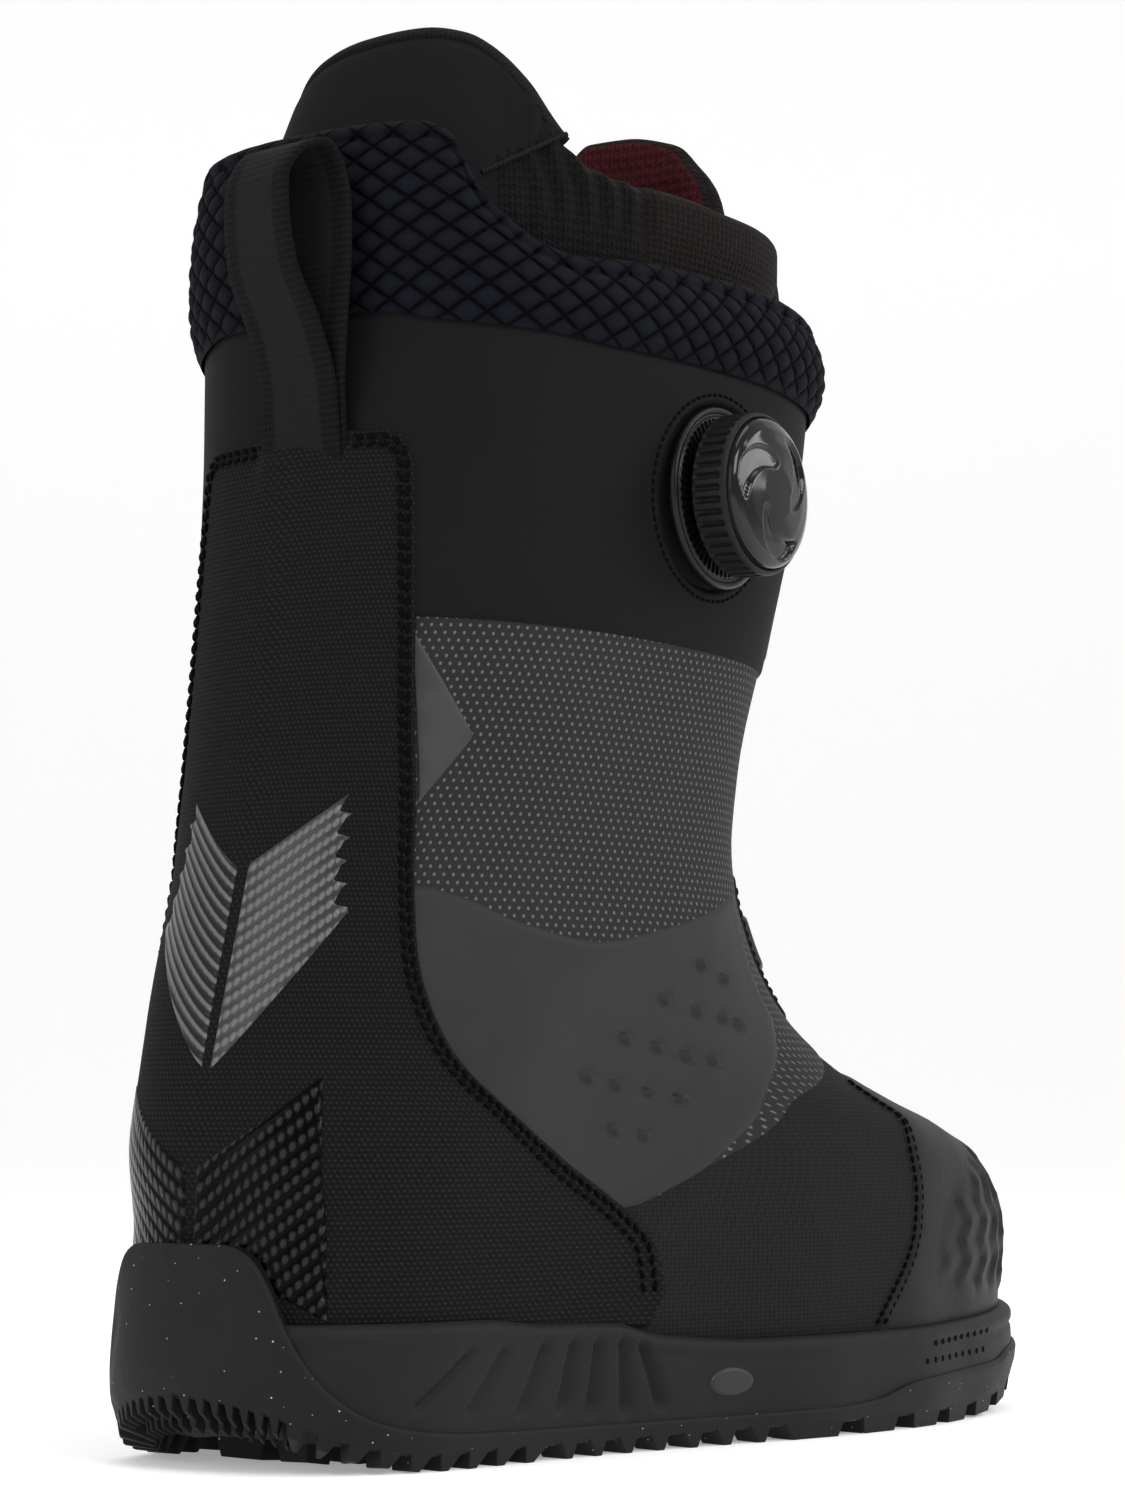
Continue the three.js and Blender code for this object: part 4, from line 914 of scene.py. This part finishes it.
def midsole_piece():
    cols, rows, rows_in = 1400, 22, 5
    s = np.linspace(-1, 1, cols, endpoint=False)
    base, n = outline(s, SOLE_Z), level_normals(s, np.full(cols, SOLE_Z))
    y = base[:, 1]
    top, low = MIDSOLE_TOP(y), GROUND(y) + 4
    P, UV = [], []
    for i in range(rows + rows_in):
        if i < rows:
            v = i / (rows - 1)
            z = low + (top - low) * v
            out = 1.0 + 0.7 * np.sin(np.pi * v) + 0.5 * ease(0.75, 0.85, v) - 1.2 * ease(0.93, 1.0, v)
            out = out - 0.45 * hump(top - z - 4.6, 0.7) - 2.3 * fan_grooves(y, z)
        else:
            q = (i - rows + 1) / rows_in
            z = top + 0.15 - 0.3 * q
            out = -0.3 - 5 * q + 0 * y
        P.append(np.stack([base[:, 0], y, z], -1) + n * out[:, None])
        UV.append(np.stack([s * GIRTH, z], -1))
    return grid("midsole_foam", P, UV, "midsole", closed=True)


carry(midsole_piece(), "midsole")

RUBBER_TOP = [(0.0, 50.8), (0.045, 50.6), (0.066, 48.2), (0.083, 41.6), (0.097, 32.5), (0.117, 23.5), (0.14, 17),
              (0.173, 11.8), (0.214, 9.2), (0.252, 8.2), (0.36, 7.4), (0.42, 7.2), (0.533, 7.4), (0.575, 8.4),
              (0.613, 12), (0.689, 13.6), (0.743, 14.6), (0.774, 16.8), (0.85, 19), (0.93, 21)]


def sole_skin(s, z, out=0.0):
    """The sole's wall: carried straight down from its outline, following the heel above it."""
    s, z, out = spread(s, z, out)
    zz = np.maximum(z, SOLE_Z)
    p = outline(s, zz)
    under = 2.6 * ease(14, 0, z - GROUND(p[..., 1])) ** 2
    q = p + level_normals(s, zz) * (out - under)[..., None]
    q[..., 2] = z
    return q


def rubber_relief(s, z, d):
    return -0.55 * hump(d - 3.0, 0.55) * (z > 7.5)


right = RUBBER_TOP + [(1.0, 22.0)]
rubber_top = right + [(2 - s, z) for s, z in right[::-1][1:]]
ground_s = np.linspace(0.0, 2.0, 160)
ground = list(zip(ground_s, GROUND(outline(ground_s, SOLE_Z)[:, 1]) + 3.2))
wall_outline = joined(ground, [(2.0, ground[0][1]), (2.0, 50.8)], rubber_top[::-1], [(0.0, 50.8), (0.0, ground[0][1])])
lay("outsole_wall", "outsole", wall_outline, 1.9, 1.1, "outsole", spacing=2.6, edge=1.5, relief=rubber_relief,
    skin=sole_skin, skirt=3.0, wrap=True)


def prism(low, high):
    """A closed block between two rings of the same length."""
    n = len(low)
    return [*low, *high], [list(range(n))[::-1], list(range(n, 2 * n))] + quads(2, n)


LUG_ROWS = [  # where a row of side lugs starts, and each lug's place and width in s, its depth, taper and lean
    ([(q, 0.0245) for q in np.arange(0.097, 0.325, 0.0262)], 10, 0.62, -0.55),
    ([(q, 0.017) for q in np.arange(0.335, 0.5, 0.0235)], 10, 0.62, 0.3),
    ([(0.505, 0.042), (0.562, 0.036), (0.611, 0.034), (0.657, 0.034), (0.703, 0.034), (0.751, 0.034),
      (0.8, 0.036), (0.851, 0.04), (0.905, 0.06)], 14, 0.7, 0.0)]


def tread_plate():
    """The plate over the ground side, above the lugs, as rings that shrink towards its middle."""
    n, shares = 120, (1.0, 0.85, 0.6, 0.3, 0.02)
    ring = sole_skin(np.linspace(-1, 1, n, endpoint=False), SOLE_Z, 1.2)
    centre = np.array([0.0, -5.0, 0.0])
    flat = np.vstack([centre + (ring - centre) * share for share in shares])
    flat[:, 2] = GROUND(flat[:, 1]) + 4.2
    return list(flat), flipped(quads(len(shares), n))


def lug(s0, s1, depth, inner=0.62, lean=0.0, inset=0.0):
    """A block under the rim, `depth` millimetres deep; lean moves its crest along the rim."""
    a, c = sole_skin([s0, s1], SOLE_Z, 1.6 - inset)
    m, half = (a + c) / 2, (c - a) / 2
    n = level_normals(np.array([(s0 + s1) / 2]), SOLE_Z)[0]
    quad = [a, c, m + half * inner - n * depth, m - half * inner - n * depth]
    high = [np.array([p[0], p[1], GROUND(p[1]) + 5.4]) for p in quad]
    low = []
    for k, p in enumerate(quad):
        middle, turn = (m, 0.9) if k < 2 else (m - n * depth, -0.9)
        q = middle + half * lean + (p - middle) * (0.3 if lean else 0.8) - n * turn
        low.append(np.array([q[0], q[1], GROUND(q[1])]))
    return prism(low[::-1], high[::-1]) if s1 < s0 else prism(low, high)


def pad(x0, x1, y0, y1, skewed=0.0):
    """A block in the middle of the tread."""
    quad = np.array([(x0, y0), (x1, y0 + skewed), (x1, y1 + skewed), (x0, y1)], float)
    foot = quad.mean(axis=0) + (quad - quad.mean(axis=0)) * (0.86, 0.84)
    return prism([np.array([*p, GROUND(q[1])]) for p, q in zip(foot, quad)],
                 [np.array([*q, GROUND(q[1]) + 5]) for q in quad])


def tread_blocks():
    for q in np.arange(-0.0945, 0.094, 0.0135):
        yield lug(q, q + 0.0125, 5, lean=0.01)
        yield lug(q + 0.006, q + 0.018, 5, lean=0.01, inset=5.5)
    for sign in (1, -1):
        for row, depth, inner, crest in LUG_ROWS:
            for q, w in row:
                yield lug(sign * q, sign * (q + w), depth, inner, crest)
    for yc in np.arange(-136, -20, 14.5):
        w = np.interp(yc, [-140, -110, -60, -20], [10, 24, 28, 22])
        shift = float(TOE_SHIFT(yc))
        yield pad(shift - w, shift - 2.2, yc - 5, yc + 5, 3.0)
        yield pad(shift + 2.2, shift + w, yc - 2, yc + 8, -3.0)
    for yc in (-4, 14, 32):
        yield pad(-20, 20, yc - 5, yc + 5)
    for yc in np.arange(50, 122, 13):
        w = np.interp(yc, [50, 90, 122], [22, 23, 12])
        yield pad(-w, -2, yc - 4.5, yc + 4.5, -3.0)
        yield pad(2, w, yc - 7.5, yc + 1.5, 3.0)


def tread():
    """The ground side: a plate with lugs, saw-toothed cleats round the heel, blocks elsewhere."""
    verts, faces = tread_plate()
    for block_verts, block_faces in tread_blocks():
        faces += [[len(verts) + i for i in f] for f in block_faces]
        verts += block_verts
    obj = new_mesh("outsole_tread", verts, faces, np.array(verts)[:, :2], "outsole", smooth=False)
    bevel = obj.modifiers.new("rounding", "BEVEL")
    bevel.width, bevel.segments, bevel.limit_method = 0.0005, 2, "ANGLE"
    bevel.angle_limit = math.radians(35)
    return obj


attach(tread(), "lower_boot")


def studs(name, places, radius, out, finish, mirror=False, sides=12):
    """Small round dots stuck on the sole's wall at [s, z] places."""
    verts, faces, uv = [], [], []
    for s, z in places:
        s = -s if mirror else s
        c = sole_skin(s, z, out)
        n = normals(s, max(z, SOLE_Z))
        t = unit(np.cross(n, (0, 0, 1)))
        b = np.cross(n, t)
        faces += flipped(quads(3, sides, start=len(verts)))
        for r, h in ((1.0, -0.5), (0.92, 0.1), (0.5, 0.3)):
            for k in range(sides):
                q = 2 * math.pi * k / sides
                verts.append(c + (t * math.cos(q) + b * math.sin(q)) * radius * r + n * h * 0.3)
                uv.append((k, r))
        faces.append(list(range(len(verts) - sides, len(verts)))[::-1])
    return new_mesh(name, verts, faces, uv, finish)


def on_wall(y, z):
    """A point of the sole's wall as [s, z]."""
    return float(s_at(y, 24)), float(z)


vents = [on_wall(y, z0 + (y0 - y) * rise) for y0, y1, z0, rise in ((-71, -106, 21.0, 0.045), (-66, -103, 16.6, 0.03))
         for y in np.linspace(y0, y1, 9)]
badge_outline = [on_wall(10 + 7.5 * math.cos(a), 15.2 + 3.4 * math.sin(a)) for a in np.linspace(0, 2 * np.pi, 26)[:-1]]
for tag, mirror in SIDES:
    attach(studs(f"toe_vents_{tag}", vents, 0.8, 1.8, "thread", mirror), "lower_boot")
    lay(f"badge_{tag}", f"midsole_badge_{tag}", badge_outline, 1.5, 0.7, "plastic", spacing=1.6, edge=0.8,
        skin=sole_skin, mirror=mirror, skirt=0.8)

# ---------------------------------------------------------------- inner boot


LINER_RIM = [(-0.885, 290), (-0.85, 297), (-0.70, 298), (-0.60, 299), (-0.52, 301), (-0.43, 300), (-0.36, 305),
             (-0.3, 313), (-0.24, 322), (-0.17, 331), (-0.08, 336), (0.02, 338.5), (0.1, 339), (0.17, 337.5),
             (0.216, 334), (0.268, 325), (0.291, 318), (0.314, 311.6), (0.35, 305.5), (0.413, 303), (0.478, 303),
             (0.584, 302), (0.7, 302.5), (0.8, 303), (0.85, 300), (0.885, 292)]


def lean(s, z):
    """The rear lobe tips forward above the collar."""
    return 0.34 * np.clip(z - 290, 0, None) * (1 - ease(0.2, 0.45, np.abs(s)))


def rolled(rows, low, rim, thick, inset, low_inside, power=1.0):
    """z and inset for each row of a padded piece: up its outside, over its rim and down its inside."""
    r = thick / 2
    for v in np.linspace(0, 1, rows[0]):
        yield low + (rim - r - low) * v ** power, inset
    for q in np.arange(1, rows[1] + 1) / rows[1] * np.pi:
        yield rim - r + r * np.sin(q), inset + r * (1 - np.cos(q))
    for v in np.arange(1, rows[2] + 1) / rows[2]:
        yield rim - r - (rim - r - low_inside) * v, inset + thick


LOBE_EDGE, GUSSET_EDGE = 0.217, 0.43  # where the liner's rear lobe and its ribbed gusset end, in s


def liner_piece():
    """The inner boot: a smooth rear lobe, a ribbed gusset beside it, knit round the front."""
    cols, rows = 360, (60, 12, 50)
    s = np.linspace(-0.885, 0.885, cols)
    P, UV = [], []
    for i, (z, inset) in enumerate(rolled(rows, 44.0, curve(LINER_RIM)(s), 9.0, 8.2, 52.0, 0.8)):
        pillow = 1.6 * np.sin(np.pi * np.clip((s - 0.43) / 0.45, 0, 1)) ** 0.6 - 1.5 * hump(s - 0.43, 0.012)
        wrinkle = 0.7 * np.sin(s * 190 + 1.3 * np.sin(z / 4)) * ease(0.22, 0.3, s) * (1 - ease(0.4, 0.43, s))
        P.append(outline(s, z, inset - (pillow + wrinkle) * ease(285, 292, z) + lean(s, z)))
        UV.append(np.stack([s * GIRTH, z + (0 if i < rows[0] + 6 else 200)], -1))
    obj = grid("liner_body", P, UV, "lobe", "gusset", "knit", "lining")
    index = []
    for i in range(sum(rows) - 1):
        for a, z in zip(np.abs(s[:-1] + s[1:]) / 2, P[i][:, 2]):
            lobe = a < LOBE_EDGE or (a < 0.36 and z > 302.4 + (a - LOBE_EDGE) * 95)
            index.append(3 if i > rows[0] + rows[1] - 3 else 0 if lobe else 1 if a < GUSSET_EDGE else 2)
    obj.data.polygons.foreach_set("material_index", index)
    return obj


carry(liner_piece(), "liner_shell")

# Binding sewn along the top of the rear lobe, and the lobe's seam with the gusset.
s = np.linspace(-0.33, 0.318, 160)
z = curve(LINER_RIM)(s)
binding = outline(s, z - 0.6, 10.2 + lean(s, z))
carry(tube("liner_binding", resample(binding, 1.5), 1.9, "binding", sides=10))
s = np.linspace(0.2, 0.318, 40)
z = 302.4 + (s - LOBE_EDGE) * 95
gusset_seam = outline(s, z, 8.0 + lean(s, z))
carry(tube("liner_gusset_seam", resample(gusset_seam, 1.2), 0.7, "binding", sides=6))

TONGUE_TOP = curve([(0.775, 299), (0.85, 303), (0.9, 309), (0.935, 315), (0.951, 324), (0.982, 332), (1.005, 337.6),
                    (1.07, 340.6), (1.133, 339.8), (1.165, 335), (1.2, 322), (1.225, 305)])


def liner_tongue_piece():
    """The inner boot's padded tongue, with a rounded top and stitched lining rows inside."""
    cols, rows = 110, (60, 10, 80)
    a = np.linspace(-1, 1, cols)
    s = 1.0 + a * 0.225
    P, UV = [], []
    for i, (z, inset) in enumerate(rolled(rows, 106, TONGUE_TOP(s), 8.0, 9.4, 114)):
        ridges = 0.9 * np.abs(np.sin(np.pi * z / 8.5)) if i >= rows[0] + rows[1] else 0
        P.append(outline(s, z, inset + ridges + 2.4 * np.abs(a) ** 4 * (1 if i < rows[0] else -1)))
        UV.append(np.stack([s * GIRTH, z + (0 if i < rows[0] + 5 else 400)], -1))
    obj = grid("liner_tongue_pad", P, UV, "knit", "lining")
    outside, inside_too = (rows[0] + rows[1] - 3) * (cols - 1), (sum(rows) - 1) * (cols - 1)
    obj.data.polygons.foreach_set("material_index", [int(k >= outside) for k in range(inside_too)])
    return obj


carry(liner_tongue_piece(), "liner_tongue")


def tongue_relief(s, z, d):
    """Padded ribs across the shell's tongue, between two pressed lines."""
    off = np.abs(np.where(s < 0, s + 2, s) - 1) * GIRTH
    return 0.9 * np.abs(np.sin(np.pi * z / 24)) ** 0.5 * (off < 15) - 0.8 * hump(off - 15, 1.2)


tongue_outline = joined([(0.80, 97), (1.0, 97), (1.2, 97)], [(1.2, 97), (1.19, 200), (1.175, 285)],
                        [(1.175, 285), (1.15, 297), (1.1, 303), (1.0, 306), (0.9, 303), (0.85, 297), (0.825, 285)],
                        [(0.825, 285), (0.81, 200), (0.80, 97)])
lay("shell_tongue_pad", "shell_tongue", tongue_outline, -6.9, 1.5, "tongue", spacing=3.0, edge=2.0,
    relief=tongue_relief, skin=surface, skirt=1.2)

for tag, mirror in SIDES:
    for part, z0, z1 in (("instep", 104, 140), ("cuff", 191, 252)):
        strip = corners((THROAT - 0.062, z0), (THROAT - 0.002, z0 + 2), (THROAT - 0.002, z1), (THROAT - 0.062, z1))
        lay(f"eyestay_{part}_{tag}", f"{part}_eyestay_{tag}", strip, -0.95, 1.0, "stay", spacing=2.4, mirror=mirror)
        for inset in (0.008, 0.054):
            seam(f"eyestay_stitch_{part}_{int(inset * 1000)}_{tag}",
                 [(THROAT - inset, z0 + 4), (THROAT - inset, z1 - 3)], 0.1, mirror=mirror,
                 pitch=2.8, length=2.0, radius=0.3)

# ---------------------------------------------------------------- guides and cable

GUIDES = [("cuff_medial", -1, 237, 221), ("cuff_lateral", 1, 213, 198), ("instep_medial", -1, 137, 129.5),
          ("instep_lateral", 1, 126.5, 119), ("toe_medial", -1, 116, 109.5)]
CABLE_IN, CABLE_IN_GUIDE = -4.3, 1.6  # millimetres off the surface


def cable_route():
    """The cable's way as [s, z, depth]: under the shell, back and forth over the tongue, and back."""
    way = [(s, z, CABLE_IN) for s, z in ((0.6, 237), (0.72, 240), (0.84, 242), (0.93, 241), (1, 240))]
    before = 240
    for k, (_, hand, high, low) in enumerate(GUIDES):
        if k:
            way.append((1, (before + high) / 2, CABLE_IN))
        across = [(0.94, before + (high - before) * 0.75, -1.6), (0.895, high, 0.6), (0.868, high, CABLE_IN_GUIDE),
                  (0.85, (high + low) / 2, CABLE_IN_GUIDE), (0.868, low, CABLE_IN_GUIDE), (0.895, low, 0.6),
                  (0.94, low - 0.5, -1.8)]
        way += [(s if hand > 0 else 2 - s, z, out) for s, z, out in across]
        before = low
    way += [(s, z, CABLE_IN) for s, z in ((1, 107.5), (0.92, 109), (0.84, 116), (0.79, 135), (0.75, 165),
                                          (0.7, 195), (0.62, 214))]
    pts = np.array([surface(*w) for w in way])
    d = along(pts, 0.5)
    return through(np.linspace(0, d[-1], 900), d, pts)


# Twisted steel strands: the radius swells and sinks along the cable.
strand = resample(cable_route(), 0.8)
swell = 0.6 + 0.05 * np.sin(np.arange(len(strand)) * 2.1)
carry(tube("lace_cable_strand", strand, swell, "steel", up=(0.3, 0.2, 0.9)), "lace_cable")
for name, hand, high, low in GUIDES:
    s0, s1, z0, z1 = THROAT - 0.034, THROAT + 0.006, low - 3.5, high + 3.5
    lay(f"guide_{name}", f"lace_guide_{name}", corners((s0, z0), (s1, z0), (s1, z1), (s0, z1)), 0.1, 1.9, "plastic",
        spacing=1.6, edge=2.2, skin=surface, mirror=hand < 0)

# ---------------------------------------------------------------- dial

DIAL_AXIS = np.array([-math.cos(DIAL_TURN), -math.sin(DIAL_TURN), 0.0])


def lathe(name, profile, finish, relief, step=0.45, around=240):
    """A turned piece on the dial's axis from [radius, height] points, closed on itself."""
    ring = resample([(r, h, 0.0) for r, h in profile], step)
    a = np.linspace(0, 2 * np.pi, around, endpoint=False)
    r, q = np.meshgrid(ring[:, 0], a, indexing="ij")
    h = np.meshgrid(ring[:, 1], a, indexing="ij")[0]
    dr, dh = relief(q, r, h)
    r, h = r + dr, h + dh
    e1, e2 = np.array([0, 0, 1.0]), np.cross(DIAL_AXIS, [0, 0, 1.0])
    P = DIAL + r[..., None] * (np.cos(q)[..., None] * e1 + np.sin(q)[..., None] * e2) + h[..., None] * DIAL_AXIS
    return grid(name, P, np.stack([q * 18, h + r], -1), finish, closed=True)


def scoops(q, r, h):
    """Three curved finger scoops swept across the face of the cap."""
    dh = np.zeros_like(r)
    for k in range(3):
        turn = (q - math.radians(50 + 120 * k) + np.pi) % (2 * np.pi) - np.pi
        sweep = 7.2 + 7.0 * ease(-0.95, 0.75, turn)
        width = 3.6 * np.clip(1 - np.abs(turn / 0.95) ** 2.2, 0, 1)
        dh = np.maximum(dh, ease(0, 0.7, width - np.abs(r - sweep)) * (0.5 + 0.5 * ease(-0.9, 0.4, turn)))
    return 0 * r, -1.3 * dh * (h > 14.6)


def knurl(q, r, h):
    tooth = np.clip(2.6 * np.sin(q * 42) + 0.5, -1, 1)
    zone = ease(5.0, 6.2, h) * (1 - ease(12.0, 12.8, h)) * (r > 19)
    return -0.65 * (1 - tooth) * zone, 0 * h


def flange_teeth(q, r, h):
    zone = ease(13.5, 14.5, r) * (1 - ease(19.2, 19.8, r)) * (h > 1.5)
    return 0 * r, -0.3 * (np.sin(q * 60) > 0) * zone


cap = lathe("dial_cap_face", [(0.02, 18.0), (6, 17.9), (12, 17.4), (15.5, 16.7), (17.4, 15.8), (18.1, 15.0),
                              (18.1, 14.4), (17.5, 14.2), (0.02, 14.2)], "gloss", scoops)
grip = lathe("dial_grip_ring", [(18.4, 5.0), (19.2, 4.9), (19.7, 5.4), (19.8, 12.6), (19.5, 13.7), (19.0, 14.1),
                                (18.4, 14.1), (18.4, 5.0)], "grip", knurl, step=0.4, around=552)
flange = lathe("dial_flange_ring", [(11.4, 0.3), (22.2, 0.3), (22.3, 1.2), (22.0, 2.1), (21.4, 2.4), (20.8, 2.1),
                                    (20.4, 1.5), (19.9, 1.5), (19.6, 2.2), (13, 2.2), (11.4, 2.0), (11.4, 0.3)],
               "ring", flange_teeth, step=0.35, around=480)
for piece, node, body in ((cap, "dial_cap", "dial_knob"), (grip, "dial_grip", "dial_knob"),
                          (flange, "dial_flange", "cuff")):
    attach(piece, body)
    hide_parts(node)

# ---------------------------------------------------------------- CAD pieces that stay, with their finishes

FINISH = {
    "lasting_board": "board", "shank": "steel", "heel_counter": "plastic", "footbed": "footbed",
    "dial_housing": "plastic", "dial_axle": "steel", "dial_spool": "nylon", "dial_ratchet_ring": "nylon",
    "dial_bushing": "nylon", "dial_pawl_disc": "nylon", "dial_spring_washer": "steel", "dial_knob": "plastic",
}
for node, finish in FINISH.items():
    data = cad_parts[node].data
    data.materials.clear()
    data.materials.append(M[finish])

# ---------------------------------------------------------------- stage, light and camera


CAMERA_TURN = math.radians(39)  # how far the photo's camera stands round from behind, towards the lateral side
AIM = (0, 0.010, 0.1715)


def stage():
    """A floor that sweeps up far behind the boot, as seen from the camera."""
    wide, reach, bend, tall = 9.0, 4.0, 1.5, 8.0
    sweep = [(reach + bend * math.sin(a), bend - bend * math.cos(a)) for a in np.linspace(0, math.pi / 2, 16)]
    path = [(-reach, 0.0), (-1.0, 0.0), (1.0, 0.0)] + sweep + [(reach + bend, tall)]
    P = np.array([[(x, d, z) for x in np.linspace(-wide, wide, 13)] for d, z in path]) * 1000
    f = Finish("studio_white", (0.86, 0.86, 0.86), 0.9)
    f.set("Roughness", f.math("MULTIPLY_ADD", f.noise(0.01), 0.1, 0.85))
    f.set("Emission Color", (1, 1, 1, 1))
    f.set("Emission Strength", 0.3)
    obj = grid("studio_floor", P, P[..., :2])
    obj.data.materials.append(f.mat)
    obj.rotation_euler = (0, 0, math.pi + CAMERA_TURN)


def placed(name, data, at, to):
    """A new light or camera at a place, turned to a point."""
    obj = bpy.data.objects.new(name, data)
    bpy.context.collection.objects.link(obj)
    obj.location = at
    obj.rotation_euler = (Vector(to) - Vector(at)).to_track_quat("-Z", "Y").to_euler()
    return obj


stage()
for name, at, to, size, power in (
        ("key", (-1.7, 0.5, 1.3), (0, 0, 0.15), 0.9, 18), ("rear", (0.5, 1.8, 0.8), (0, 0, 0.15), 1.2, 9),
        ("front_side", (-1.3, -1.2, 0.9), (0, 0, 0.12), 0.8, 9), ("top", (0, 0.1, 2.0), (0, 0, 0.1), 1.4, 12)):
    light = bpy.data.lights.new(name, "AREA")
    light.energy, light.size = power, size
    placed(name, light, at, to)
world = bpy.data.worlds.new("studio")
world.use_nodes = True
world.node_tree.nodes["Background"].inputs[0].default_value = (1, 1, 1, 1)
world.node_tree.nodes["Background"].inputs[1].default_value = 0.62
bpy.context.scene.world = world
bpy.context.scene.view_settings.view_transform = "Standard"

camera = bpy.data.cameras.new("photo_camera")
camera.lens, camera.sensor_width = 95.04, 36
bpy.context.scene.camera = placed(
    "photo_camera", camera, (-math.sin(CAMERA_TURN), AIM[1] + math.cos(CAMERA_TURN), 0.080), AIM)
